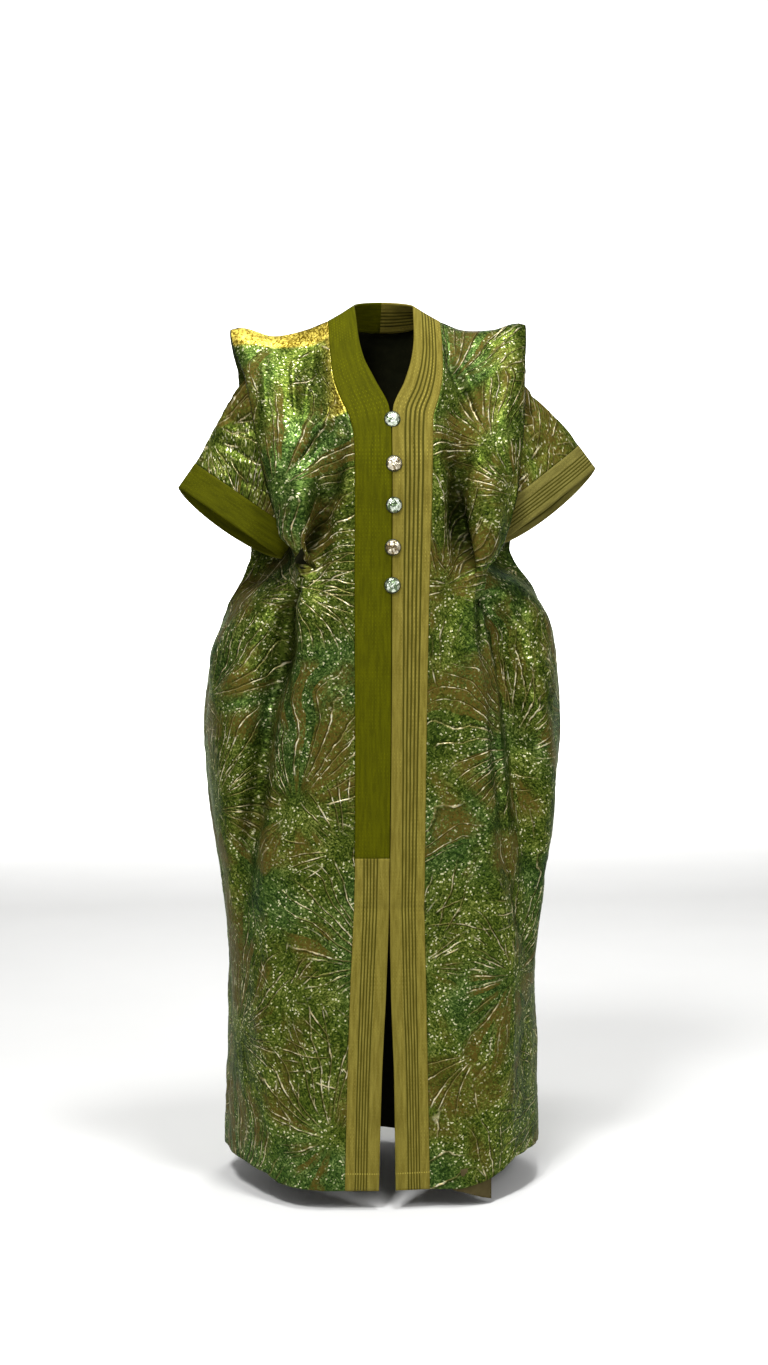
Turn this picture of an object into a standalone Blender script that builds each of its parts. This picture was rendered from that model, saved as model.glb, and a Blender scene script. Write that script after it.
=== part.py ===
"""A grand boubou robe in brocade, held in the hollow form that it has when it is worn.

The frame is +Z up and -Y to the front, with the wearer's left at +X. The origin is between
the two neck points of the shoulder seam, where the wearer's shoulders hold the robe.
Tables are in millimetres; meshes are in metres.
"""

import math

import bpy
import numpy as np

MM = 0.001

# Driving sizes, in millimetres
CLOTH = 2.0
BAND_CLOTH = 3.0
BAND_PROUD = 0.5
SEAM = 0.3
HEM_HEIGHT = 1415
ARMHOLE_FOOT = 335
SPLICE_HEIGHT = 886
SLIT_TOP = 960
CUFF_WIDTH = 49
PLEAT_GAP = 12
UNDER_PLEAT = 1.5
RIDGE_LIMIT = 2.6
FOLD_SHOULDER = 6
FOLD_HALF = 5
BUTTON_RADIUS = 13.5
BUTTON_THICK = 8
BUTTON_SIDES = 18
BUTTON_PROFILE = ((1, 0), (1, 0.15), (0.9, 0.5), (0.6, 0.85), (0.3, 0.97))
# Each button as its place across, towards the wearer's left, and its depth
BUTTON_PLACES = ((3.5, 171), (5, 244), (4.5, 312), (2.5, 381), (1.5, 443))

# Rows of the cloth grid: the depth below the neck point where a zone ends, and its row count
ROW_ZONES = ((12, 1), (30, 1), (ARMHOLE_FOOT, 9), (510, 7), (SPLICE_HEIGHT, 8), (SLIT_TOP, 1), (HEM_HEIGHT, 5))

# How a side differs: its sign, how far the shoulder seam dips, and the shape of its cuff.
# cuff_out and cuff_in are the two folded corners of the cuff's lower edge.
SIDES = {
    "right": {
        "sign": -1, "dip_fold": -14, "dip_wing": -26, "dip_tip": -27,
        "cuff_out": (347, -8, -282), "cuff_in": (177, -40, -400), "back_drop": 17,
        "tip_out": 12, "tip_fade": 110, "hem_out": 0, "hem_rise": 1.2, "lobe_rise": 0,
        "sleeve_leave": (1.1, 0, -0.3),
    },
    "left": {
        "sign": 1, "dip_fold": -13, "dip_wing": -13, "dip_tip": -15.5,
        "cuff_out": (361, -8, -249), "cuff_in": (192, -42, -375), "back_drop": 22,
        "tip_out": -6, "tip_fade": 300, "hem_out": 3, "hem_rise": 1.7, "lobe_rise": 34,
        "sleeve_leave": (0.2, 0, -0.9),
    },
}
CUFF_FRONT = 34
CUFF_BACK = 62
LENS = 1.25
SLEEVE_HEAD_DROP = 5
LOBE_FROM = 375
LOBE_TO = 720

# The bands down the front: the outer and inner edge of each, how far forward they lie, and
# how far the inner edge runs above the outer one, which turns the bands into the neckline.
BAND_COLUMNS = ("depth", "right_out", "right_in", "left_out", "left_in", "out_y", "in_y", "rise")
BAND_ROWS = (
    (0, 95, 50, 95, 50, 0, 8, 27),
    (12, 95, 49.5, 95, 49.5, -14, -4, 30),
    (30, 95, 48.5, 95, 48.5, -30, -20, 32),
    (64, 94, 46.5, 94, 46.5, -56, -48, 34),
    (98, 91, 40, 91, 40, -80, -77, 33),
    (132, 81, 22, 83, 26, -101, -104, 26),
    (166, 67, 1, 72, 5, -120, -123, 13),
    (200, 60, -1.6, 70, 2.8, -131, -133, 4),
    (234, 59, -1.4, 69, 2.6, -137, -141, 0),
    (300, 59, -1, 67, 2.2, -143, -147, 0),
    (430, 60, -0.2, 63, 1.4, -147, -151, 0),
    (680, 60, 1.8, 57, -0.6, -158, -162, 0),
    (910, 61, 5, 53, -3.8, -168, -172, 0),
    (960, 62.5, 5.8, 52, -4.6, -171, -175, 0),
    (1093, 69, 11, 54, -3.6, -179, -183, 0),
    (1243, 74.5, 19, 56, 1, -188, -192, 0),
    (1415, 79, 24.5, 58, 2.5, -200, -204, 0),
)

# Front sections, from the band round to the side seam: the hollow beside the band, the
# wing that hangs from the shoulder, the wing's folded edge, the hollow where the arm
# lies, the front of the side lobe, and the side seam.
FRONT_COLUMNS = (
    "depth", "hollow_x", "hollow_y", "wing_x", "wing_y", "edge_x", "edge_y",
    "arm_x", "arm_y", "lobe_x", "lobe_y", "side_x", "side_y",
)
FRONT_ROWS = (
    (0, 130, 0, 185, 0, 248, 0, 182, -1.5, 182, -0.9, 182, 0),
    (12, 122, -14, 183, -12, 247.5, -8, 181, -5, 181, -3, 181, 0),
    (30, 112, -31, 180, -22, 246, -14, 179, -10, 178, -4, 177, 1),
    (95, 114, -61, 170, -55, 240, -38, 168, -33, 166, -14, 165, 6),
    (150, 126, -80, 164, -78, 234, -56, 159, -48, 156, -19, 154, 10),
    (200, 121, -98, 162, -98, 228, -71, 152, -55, 149, -21, 148, 12),
    (260, 114, -106, 162, -115, 221, -86, 144, -59, 142, -21, 142, 13),
    (320, 111, -110, 158, -128, 210, -97, 137, -60, 137, -21, 142, 15),
    (385, 119, -114, 148, -132, 184, -106, 142, -60, 146, -23, 154, 15),
    (430, 131, -120, 143, -126, 158, -110, 156, -60, 168, -28, 190, 12),
    (480, 126, -130, 143, -129, 160, -109, 168, -58, 202, -38, 240, 3),
    (560, 114, -145, 147, -141, 170, -110, 180, -58, 234, -60, 285, -4),
    (680, 109, -157, 154, -151, 182, -119, 196, -74, 252, -92, 301, 4),
    (800, 110, -163, 161, -157, 193, -131, 211, -90, 254, -96, 293, 8),
    (950, 110, -170, 165, -163, 204, -140, 233, -90, 255, -72, 272, 10),
    (1120, 110, -179, 163, -169, 200, -145, 225, -104, 244, -64, 259, 12),
    (1415, 112, -199, 161, -181, 194, -149, 221, -108, 245, -62, 264, 14),
)

# Back sections, from the side seam round to the centre: the hollow behind the arm, the back
# wing's folded edge, the wing, its root, the line below the neck point, and the centre.
BACK_COLUMNS = (
    "depth", "arm_x", "arm_y", "edge_x", "edge_y", "wing_x", "wing_y",
    "root_x", "root_y", "neck_x", "neck_y", "centre_y",
)
BACK_ROWS = (
    (0, 182, 1.5, 248, 0, 185, 0, 130, 0, 95, 0, 92),
    (12, 182, 5, 248, 8, 184, 13, 131, 15, 94, 22, 100),
    (30, 180, 10, 247, 14, 181, 24, 129, 30, 92, 42, 106),
    (95, 172, 28, 244, 34, 174, 56, 125, 68, 88, 82, 117),
    (150, 166, 40, 241, 49, 171, 77, 124, 88, 87, 99, 121),
    (200, 163, 46, 239, 59, 171, 88, 124, 99, 86, 108, 123),
    (320, 157, 52, 235, 70, 175, 102, 128, 110, 88, 115, 119),
    (385, 168, 50, 223, 68, 177, 106, 130, 113, 90, 117, 118),
    (430, 206, 45, 235, 63, 186, 108, 134, 116, 91, 119, 120),
    (480, 251, 36, 262, 62, 199, 110, 140, 120, 95, 123, 123),
    (560, 291, 34, 285, 66, 213, 116, 150, 127, 101, 129, 129),
    (680, 304, 42, 292, 77, 222, 125, 158, 138, 106, 141, 140),
    (800, 296, 46, 284, 82, 218, 132, 157, 147, 106, 151, 151),
    (950, 275, 48, 264, 85, 206, 136, 150, 156, 103, 162, 164),
    (1120, 261, 50, 250, 87, 195, 141, 145, 165, 100, 173, 179),
    (1415, 268, 52, 256, 92, 199, 155, 149, 185, 102, 195, 206),
)

# Steps of the cloth grid between one station of a section and the next
FRONT_STEPS = (3, 3, 2, 1, 1, 3, 3, 3)
BACK_STEPS = (3, 3, 1, 1, 2, 2, 2, 6)
BAND_STEPS = 3
SLEEVE_STEPS = 6
CUFF_STEPS = 2

# Columns of the cloth grid that the seams follow
EDGE_FRONT = sum(FRONT_STEPS[:4])
ARM_FRONT = sum(FRONT_STEPS[:6])
LOBE = sum(FRONT_STEPS[:7])
SIDE = sum(FRONT_STEPS)
ARM_BACK = SIDE + BACK_STEPS[0]
EDGE_BACK = SIDE + sum(BACK_STEPS[:3])
NECK = SIDE + sum(BACK_STEPS[:7])

# How far the hem rises or falls at each station, from the band round to the centre back
HEM_LIFT = (0, 0, 2, 5, 7, 9, 12, 15, 15, 14, 12, 10, 8, 0, -4, -8, -10)
HEM_OUT = (0, 0, 0, 0.3, 0.5, 0.7, 0.9, 1, 1, 1, 0.8, 0.6, 0.5, 0.3, 0, 0, 0)
HEM_LIFT_FROM = 1000
SHOULDER_FADE = 160
FOLD_FADE = 40
NECK_BACK_DIP = -12
NECK_BACK_Y = 56
NECK_FADE = 240
NECK_BACK_RISE = 38

# Soft vertical folds that the back falls into below the shoulder blades
BACK_FOLD_DEPTH = 8
BACK_FOLD_PITCH = 118
BACK_FOLD_FROM = 250
BACK_FOLD_FULL = 900

# The corner of the back's hem allowance that drops into sight below the front hem
CORNER_COLUMNS = (2, 6)
CORNER_TOP = 30
CORNER_DROPS = (2, 7, 14, 21, 27)

MATERIALS = {
    "brocade": ((0.10, 0.20, 0.05), 0.45, 0.35),
    "olive_band": ((0.11, 0.12, 0.01), 0.7, 0.0),
    "striped_band": ((0.25, 0.21, 0.05), 0.6, 0.1),
    "foil_button": ((0.62, 0.66, 0.48), 0.2, 0.8),
    "plain_khaki": ((0.09, 0.075, 0.03), 0.85, 0.0),
}


def clear_scene():
    for obj in list(bpy.data.objects):
        bpy.data.objects.remove(obj, do_unlink=True)


def make_material(name):
    colour, roughness, metallic = MATERIALS[name]
    material = bpy.data.materials.new(name)
    material.use_nodes = True
    shader = material.node_tree.nodes["Principled BSDF"]
    shader.inputs["Base Color"].default_value = (*colour, 1.0)
    shader.inputs["Roughness"].default_value = roughness
    shader.inputs["Metallic"].default_value = metallic
    return material


def unit(vectors):
    """Vectors scaled to length 1 along the last axis."""
    return vectors / np.maximum(np.linalg.norm(vectors, axis=-1, keepdims=True), 1e-12)


def smoothstep(value):
    value = np.clip(value, 0.0, 1.0)
    return value * value * (3 - 2 * value)


def row_depths():
    """The depth of each grid row below the neck point, zone by zone."""
    depths = [0.0]
    for end, count in ROW_ZONES:
        depths += list(np.linspace(depths[-1], end, count + 1)[1:])
    return np.array(depths)


def hermite(start, end, slope_in, slope_out, share):
    """A cubic from start to end that leaves with slope_in and arrives with slope_out."""
    s2, s3 = share**2, share**3
    return (
        (2 * s3 - 3 * s2 + 1) * start
        + (s3 - 2 * s2 + share) * slope_in
        + (3 * s2 - 2 * s3) * end
        + (s3 - s2) * slope_out
    )


def table(columns, rows, depths):
    """Each column of a table at the given depths, on a cubic that never overshoots a row."""
    data = np.array(rows, float)
    knots = data[:, 0]
    span = np.diff(knots)
    span_at = np.clip(np.searchsorted(knots, depths, side="right") - 1, 0, len(span) - 1)
    share = (depths - knots[span_at]) / span[span_at]
    found = {}
    for name, values in zip(columns[1:], data[:, 1:].T):
        secant = np.diff(values) / span
        both = secant[:-1] * secant[1:]
        mean = 2 * both / np.where(both > 0, secant[:-1] + secant[1:], 1)
        slope = np.concatenate([secant[:1], np.where(both > 0, mean, 0), secant[-1:]])
        found[name] = hermite(
            values[span_at],
            values[span_at + 1],
            slope[span_at] * span[span_at],
            slope[span_at + 1] * span[span_at],
            share,
        )
    return found


def through(stations, steps):
    """A smooth curve through the stations of each row; the first and last only steer it."""
    chord = np.linalg.norm(np.diff(stations, axis=1), axis=2, keepdims=True)
    secant = np.diff(stations, axis=1) / chord
    weight = chord[:, 1:] / (chord[:, :-1] + chord[:, 1:])
    tangent = secant[:, :-1] * weight + secant[:, 1:] * (1 - weight)
    inner, reach = stations[:, 1:-1], chord[:, 1:-1]
    columns = []
    for k, count in enumerate(steps):
        for share in np.arange(count) / count:
            columns.append(
                hermite(
                    inner[:, k],
                    inner[:, k + 1],
                    tangent[:, k] * reach[:, k],
                    tangent[:, k + 1] * reach[:, k],
                    share,
                )
            )
    columns.append(inner[:, -1])
    return np.stack(columns, axis=1)


def folded_edge(before, edge, after, lift):
    """Three stations round a folded edge: one short of it, the edge, and one past it.

    Where the cloth doubles back, the outer two are pushed apart, so that the fold is round.
    """
    towards, away = unit(before - edge), unit(after - edge)
    doubled = np.clip((towards * away).sum(axis=-1, keepdims=True), 0, 1)
    across = unit(before - after)
    across = unit(across - (across * unit(towards + away)).sum(axis=-1, keepdims=True) * unit(towards + away))
    spread = FOLD_HALF * doubled * across
    return (
        edge + FOLD_SHOULDER * towards + spread + lift,
        edge + lift,
        edge + FOLD_SHOULDER * away - spread - lift,
    )


def band_edges(side, depths):
    """The outer and inner edge of a front band, one point a row, as if it were the +X one."""
    data = table(BAND_COLUMNS, BAND_ROWS, depths)
    hand = "left" if side["sign"] > 0 else "right"
    outer = np.stack([data[hand + "_out"], data["out_y"], -depths], axis=1)
    inner = np.stack([data[hand + "_in"], data["in_y"], data["rise"] - depths], axis=1)
    return outer, inner


def half_body(side, depths):
    """The cloth of one half as a grid, rows by columns, from the front band to the centre back.

    The columns between the two arm hollows exist only below the armhole; above it they are
    a guide that the armhole is cut from.
    """
    lobe = np.clip((depths - LOBE_FROM) / (LOBE_TO - LOBE_FROM), 0, 1)
    raised = depths + side["lobe_rise"] * np.sin(math.pi * lobe**0.7) ** 2
    front = table(FRONT_COLUMNS, FRONT_ROWS, depths)
    front_lobe = table(FRONT_COLUMNS, FRONT_ROWS, raised)
    back = table(BACK_COLUMNS, BACK_ROWS, raised)
    for name in ("lobe_x", "lobe_y", "side_x", "side_y"):
        front[name] = front_lobe[name]
    fade = np.clip(1 - depths / SHOULDER_FADE, 0, 1) ** 2
    hem = smoothstep((depths - HEM_LIFT_FROM) / (HEM_HEIGHT - HEM_LIFT_FROM))
    under_wing = side["dip_wing"] - PLEAT_GAP

    def station(data, name, dip):
        x = data[name + "_x"] if name != "centre" else 0 * depths
        return np.stack([x, data[name + "_y"], dip * fade - depths], axis=1)

    outer, inner = band_edges(side, depths)
    lift = np.zeros((len(depths), 3))
    lift[:, 2] = PLEAT_GAP / 2 * np.clip(1 - depths / FOLD_FADE, 0, 1)
    wing, arm = station(front, "wing", side["dip_wing"]), station(front, "arm", under_wing)
    edge = station(front, "edge", side["dip_tip"])
    tip = side["tip_out"] * smoothstep(1 - depths / side["tip_fade"])
    edge[:, 0] += tip
    back_wing, back_arm = station(back, "wing", side["dip_wing"]), station(back, "arm", under_wing)
    back_edge = station(back, "edge", side["dip_tip"])
    back_edge[:, 0] += tip
    centre = station(back, "centre", NECK_BACK_DIP)
    neck = station(back, "neck", 0)
    stations = [
        outer,
        station(front, "hollow", side["dip_fold"]),
        wing,
        *folded_edge(wing, edge, arm, lift),
        arm,
        station(front, "lobe", under_wing),
        station(front, "side", under_wing),
        back_arm,
        *reversed(folded_edge(back_wing, back_edge, back_arm, lift)),
        back_wing,
        station(back, "root", side["dip_fold"]),
        neck,
        centre,
    ]
    for point, rise, out in zip(stations, HEM_LIFT, HEM_OUT):
        point[:, 2] += (side["hem_rise"] if rise > 0 else 1) * rise * hem
        point[:, 0] += out * side["hem_out"] * hem
    beyond = neck * (-1, 1, 1)
    grid = through(np.stack([inner, *stations, beyond], axis=1), FRONT_STEPS + BACK_STEPS)
    turn = np.linspace(0, math.pi / 2, BACK_STEPS[-1] + 1)
    round_neck = np.stack(
        [
            neck[:, :1] * np.cos(turn),
            neck[:, 1:2] + (centre[:, 1:2] - neck[:, 1:2]) * np.sin(turn),
            neck[:, 2:] + (centre[:, 2:] - neck[:, 2:]) * np.sin(turn) ** 2,
        ],
        axis=2,
    )
    share = smoothstep(1 - depths / NECK_FADE)[:, None, None]
    grid[:, NECK:] += share * (round_neck - grid[:, NECK:])
    grid[0, :NECK, 1] = 0
    grid[0, EDGE_FRONT : ARM_FRONT + 1, 1] = np.linspace(0, -UNDER_PLEAT, ARM_FRONT - EDGE_FRONT + 1)
    grid[0, ARM_BACK : EDGE_BACK + 1, 1] = np.linspace(UNDER_PLEAT, 0, EDGE_BACK - ARM_BACK + 1)
    return back_folds(grid, depths)


def back_folds(grid, depths):
    """Soft folds pushed into the back, deepest at the hem and gone at the side seam."""
    x, y = np.abs(grid[:, :, 0]), grid[:, :, 1]
    fall = smoothstep((depths - BACK_FOLD_FROM) / (BACK_FOLD_FULL - BACK_FOLD_FROM))
    share = smoothstep((y - 60) / 60)
    grid[:, :, 1] += BACK_FOLD_DEPTH * fall[:, None] * share * np.cos(2 * math.pi * x / BACK_FOLD_PITCH)
    return grid


def normals(grid, closed=False):
    """Outward normals of a grid whose rows run down and whose columns run round the body."""
    down = np.gradient(grid, axis=0)
    if closed:
        along = np.roll(grid, -1, axis=1) - np.roll(grid, 1, axis=1)
    else:
        along = np.gradient(grid, axis=1)
    return unit(np.cross(down, along))


def ridge_normals(facing):
    """Offsets along the shoulder seam: kept in the seam's plane, and longer where it is steep."""
    x, z = facing[..., 0], facing[..., 2]
    climb = np.minimum((1 - x**2) / np.maximum(np.abs(z), 0.01), RIDGE_LIMIT)
    return np.stack([x, 0 * x, np.sign(z) * climb], axis=-1)


def share_edge(first, second):
    """Gives two lists of normals at one seam the same directions."""
    mean = unit(first + second)
    first[:] = mean
    second[:] = mean


def inset(grid, edge, amount=SEAM / 2):
    """Moves one edge of a grid towards its neighbouring row or column, to leave a seam gap."""
    here, there = {
        "top": (grid[0], grid[1]),
        "foot": (grid[-1], grid[-2]),
        "first": (grid[:, 0], grid[:, 1]),
        "last": (grid[:, -1], grid[:, -2]),
    }[edge]
    here += amount * unit(there - here)


def add_mesh(name, points, faces, material, sign=1):
    """A closed piece from points in millimetres; sign -1 mirrors it to the other side."""
    used = sorted({v for face in faces for v in face})
    number = {v: n for n, v in enumerate(used)}
    turned = [tuple(number[v] for v in face)[::sign] for face in faces]
    mesh = bpy.data.meshes.new(name)
    mesh.from_pydata((points[used] * (sign, 1, 1) * MM).tolist(), [], turned)
    mesh.update()
    mesh.polygons.foreach_set("use_smooth", [True] * len(mesh.polygons))
    mesh.materials.append(bpy.data.materials[material])
    obj = bpy.data.objects.new(name, mesh)
    bpy.data.collections["grand_boubou_robe"].objects.link(obj)
    return obj


def wall(name, outer, inner, cells, material, sign=1, closed=False):
    """A closed sheet between two grids of points; cells says which quads of it are cloth."""
    rows, columns = outer.shape[:2]
    lift = rows * columns
    faces, edges = [], set()
    for i, j in np.argwhere(cells):
        k = (j + 1) % columns if closed else j + 1
        a, b, c, d = i * columns + j, i * columns + k, (i + 1) * columns + k, (i + 1) * columns + j
        for corners in ((a, d, c), (a, c, b)):
            faces.append(corners)
            faces.append(tuple(lift + v for v in reversed(corners)))
        edges |= {(a, d), (d, c), (c, b), (b, a)}
    points = np.concatenate([outer.reshape(-1, 3), inner.reshape(-1, 3)])
    order = points @ (0.11, 0.37, 1)
    for a, b in sorted(edges):
        if (b, a) in edges:
            continue
        if order[a] > order[b]:
            faces += [(b, a, lift + b), (a, lift + a, lift + b)]
        else:
            faces += [(b, a, lift + a), (b, lift + a, lift + b)]
    return add_mesh(name, points, faces, material, sign)


def band_grid(side, depths, neckline):
    """The band as a grid from the centre back round the neck point and down to the hem."""
    outer, inner = band_edges(side, depths)
    turn = np.linspace(math.pi / 2, 0, len(neckline))[:-1]
    start, rise = inner[0], NECK_BACK_RISE - inner[0, 2]
    back = np.stack(
        [
            start[0] * np.cos(turn),
            start[1] + (NECK_BACK_Y - start[1]) * np.sin(turn),
            start[2] + rise * np.sin(turn),
        ],
        axis=1,
    )
    outer = np.concatenate([neckline[::-1][:-1], outer])
    inner = np.concatenate([back, inner])
    share = np.linspace(0, 1, BAND_STEPS + 1)[:, None]
    return inner[:, None] + (outer - inner)[:, None] * share


def sleeve_rings(side, grid, facing, foot):
    """The armhole ring and the two rings of the cuff, each from the top round by the back."""
    backward, forward = ARM_BACK, ARM_FRONT
    picked = [(i, backward) for i in range(1, foot + 1)]
    picked += [(foot, j) for j in range(backward - 1, forward, -1)]
    picked += [(i, forward) for i in range(foot, 0, -1)]
    rows, columns = np.array(picked).T
    edge, away = grid[rows, columns], facing[rows, columns]
    top = (grid[0, forward] + grid[0, backward]) / 2 - (0, 0, SLEEVE_HEAD_DROP)

    out, fold = np.array(side["cuff_out"], float), np.array(side["cuff_in"], float)
    slant = fold - out
    axis = unit(np.array([-slant[2], 0, slant[0]]))
    turned = foot + (backward - LOBE)
    share = np.concatenate(
        [np.linspace(0, 1, turned + 1), np.linspace(1, 0, len(picked) - turned + 2)[1:-1]]
    )
    behind = np.arange(len(share)) < turned
    bow = np.sin(math.pi * share) ** LENS
    lower = out + slant * ((1 - np.cos(math.pi * share)) / 2)[:, None]
    lower[:, 1] += np.where(behind, CUFF_BACK, -CUFF_FRONT) * bow
    lower += axis * (np.where(behind, side["back_drop"], 0) * bow)[:, None]
    upper = lower - CUFF_WIDTH * axis

    outward = np.array(side["sleeve_leave"])
    ring = np.concatenate([top[None], edge])
    for turn in range(3):
        course = sleeve_course(ring, upper, axis, outward)
        own = normals(course, closed=True)[0, 1:]
        lap = SEAM + CLOTH / 2 + CLOTH / 2 * np.abs((own * away).sum(axis=1, keepdims=True))
        ring[1:] = edge + away * lap
    return sleeve_course(ring, upper, axis, outward), upper, lower


def sleeve_course(ring, upper, axis, outward):
    """The sleeve's grid: each thread leaves the armhole outwards and meets the cuff squarely."""
    chord = upper - ring
    length = np.linalg.norm(chord, axis=1, keepdims=True)
    leave = 0.5 * chord + 0.5 * length * outward
    arrive = 0.5 * chord + 0.5 * length * axis
    share = np.linspace(0, 1, SLEEVE_STEPS + 1)
    return np.stack([hermite(ring, upper, leave, arrive, s) for s in share])


def make_sleeve(name, side, grid, facing, foot):
    course, upper, lower = sleeve_rings(side, grid, facing, foot)
    steps = np.linspace(0, 1, CUFF_STEPS + 1)[:, None, None]
    cuff = upper + (lower - upper) * steps
    whole = normals(np.concatenate([course, cuff[1:]]), closed=True)
    sleeve_facing, cuff_facing = whole[: SLEEVE_STEPS + 1], whole[SLEEVE_STEPS:]
    for part, grid_here, facing_here, thick, material in (
        ("sleeve", course, sleeve_facing, CLOTH, "brocade"),
        ("cuff", cuff, cuff_facing, BAND_CLOTH, "olive_band" if name == "right" else "striped_band"),
    ):
        outer, inner = grid_here + facing_here * thick / 2, grid_here - facing_here * thick / 2
        for face in (outer, inner):
            inset(face, "foot" if part == "sleeve" else "top")
        cells = np.ones((len(outer) - 1, outer.shape[1]), bool)
        wall(f"{part}_{name}", outer, inner, cells, material, side["sign"], closed=True)


def make_front(name, side, grid, facing, foot):
    """A front panel: from the band to the side seam, with the armhole left out of its corner."""
    points, away = grid[:, : SIDE + 1], facing[:, : SIDE + 1]
    faces = [points + away * CLOTH / 2, points - away * CLOTH / 2]
    for face in faces:
        face[0, :, 1] -= SEAM / 2
        inset(face, "first")
        inset(face, "last")
    cells = np.ones((len(points) - 1, SIDE), bool)
    cells[:foot, ARM_FRONT:] = False
    wall(f"front_{name}", *faces, cells, "brocade", side["sign"])


def make_back(halves, foot):
    """The back in one piece, from side seam to side seam."""
    whole = []
    for face_sign in (1, -1):
        parts = []
        for name in ("left", "right"):
            side, grid, facing, neckline = halves[name]
            face = (grid + face_sign * facing * CLOTH / 2)[:, SIDE:].copy()
            face[0, : NECK - SIDE + 1, 1] += SEAM / 2
            face[0, NECK - SIDE :] += neckline * SEAM / 2
            inset(face, "first")
            parts.append(face * (side["sign"], 1, 1))
        whole.append(np.concatenate([parts[0], parts[1][:, -2::-1]], axis=1))
    cells = np.ones((len(whole[0]) - 1, whole[0].shape[1] - 1), bool)
    hole = ARM_BACK - SIDE
    cells[:foot, :hole] = False
    cells[:foot, -hole:] = False
    wall("back", *whole, cells, "brocade")


def make_bands(name, side, band, facing, rows):
    """One front band; the right one is pieced from two cloths at the splice."""
    outer, inner = band + facing * BAND_CLOTH / 2, band - facing * BAND_CLOTH / 2
    for face in (outer, inner):
        inset(face, "last")
        inset(face, "top")
    if name == "left":
        lengths = (("band_left", 0, len(band), "striped_band"),)
    else:
        splice = rows["splice"]
        lengths = (
            ("band_right_upper", 0, splice + 1, "olive_band"),
            ("band_right_lower", splice, len(band), "striped_band"),
        )
    for piece, first, last, material in lengths:
        faces = [outer[first:last].copy(), inner[first:last].copy()]
        for face in faces:
            if first:
                inset(face, "top")
            elif last < len(band):
                inset(face, "foot")
        cells = np.ones((last - first - 1, BAND_STEPS), bool)
        wall(piece, *faces, cells, material, side["sign"])
    return outer


def make_buttons(edge):
    """Domed buttons on the line where the two bands meet; edge is that line's outer face."""
    turns = np.arange(BUTTON_SIDES) * 2 * math.pi / BUTTON_SIDES
    for number, (across, depth) in enumerate(BUTTON_PLACES, 1):
        heights = -depth + np.linspace(-BUTTON_RADIUS, BUTTON_RADIUS, 9)
        order = np.argsort(edge[:, 2])
        depths_out = np.interp(heights, edge[order, 2], edge[order, 1])
        line = np.stack([across + 0 * heights, depths_out, heights], axis=1)
        up = unit(line[-1] - line[0])
        away = np.cross(up, (-1, 0, 0))
        middle = line[4] + away * (((line - line[4]) @ away).max() + SEAM)
        points = [middle]
        for radius, height in BUTTON_PROFILE:
            ring = np.cos(turns)[:, None] * np.array([1, 0, 0]) + np.sin(turns)[:, None] * up
            points += list(middle + ring * radius * BUTTON_RADIUS + away * height * BUTTON_THICK)
        points.append(middle + away * BUTTON_THICK)
        last = len(points) - 1
        faces = []
        for k in range(BUTTON_SIDES):
            here, there = k + 1, (k + 1) % BUTTON_SIDES + 1
            faces.append((0, there, here))
            for ring in range(len(BUTTON_PROFILE) - 1):
                a, b = here + ring * BUTTON_SIDES, there + ring * BUTTON_SIDES
                faces.append((a, b, b + BUTTON_SIDES, a + BUTTON_SIDES))
            top = (len(BUTTON_PROFILE) - 1) * BUTTON_SIDES
            faces.append((here + top, there + top, last))
        add_mesh(f"button_{number}", np.array(points), faces, "foil_button")


def make_hem_corner(side, grid, facing):
    """The end of the hem allowance that has dropped out below the left front's hem."""
    first, last = CORNER_COLUMNS
    hem, away = grid[-1, first : last + 1], facing[-1, first : last + 1]
    above = unit(grid[-2, first : last + 1] - hem)
    level = hem - away * (CLOTH + SEAM)
    drops = np.array(CORNER_DROPS)[:, None] * np.array([0, 0, -1])
    points = np.stack([level + above * CORNER_TOP, level + above, level + drops])
    out = np.stack([away, away, away])
    cells = np.ones((2, last - first), bool)
    wall("hem_corner", points + out * CLOTH / 2, points - out * CLOTH / 2, cells, "plain_khaki", side["sign"])


def main():
    clear_scene()
    collection = bpy.data.collections.new("grand_boubou_robe")
    bpy.context.scene.collection.children.link(collection)
    for name in MATERIALS:
        make_material(name)

    depths = row_depths()
    foot = int(np.argmin(np.abs(depths - ARMHOLE_FOOT)))
    splice = int(np.argmin(np.abs(depths - SPLICE_HEIGHT)))
    halves = {}
    for name, side in SIDES.items():
        grid = half_body(side, depths)
        band = band_grid(side, depths, grid[0, NECK:])
        turned = band.shape[0] - len(depths)
        joined = np.concatenate([band[turned:, :-1], grid], axis=1)
        facing = normals(joined)[:, BAND_STEPS:]
        facing[:, -1] = unit(facing[:, -1] * (0, 1, 1))
        band_facing = normals(band)
        band_facing[0] = unit(band_facing[0] * (0, 1, 1))
        share_edge(band_facing[turned:, -1], facing[:, 0])
        share_edge(band_facing[: turned + 1, -1], facing[0, NECK:][::-1])
        facing[0, : NECK + 1] = ridge_normals(facing[0, : NECK + 1])
        band_facing[turned, -1] = facing[0, 0]
        facing[0, NECK] = facing[0, 0]
        make_front(name, side, grid, facing, foot)
        make_sleeve(name, side, grid, facing, foot)
        outer = make_bands(name, side, band, band_facing, {"splice": splice + turned})
        neckline = unit(band[: turned + 1, -1] - band[: turned + 1, -2])[::-1]
        halves[name] = (side, grid, facing, neckline)
        if name == "left":
            make_buttons(outer[turned:, 0])
            make_hem_corner(side, grid, facing)
    make_back(halves, foot)


main()
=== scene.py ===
"""A grand boubou robe in metallic brocade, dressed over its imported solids.

Surfaces are worked out in millimetres in the robe's own frame, +X to the wearer's left and
-Y to the front, and put into the meshes in metres.
"""

import math

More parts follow.
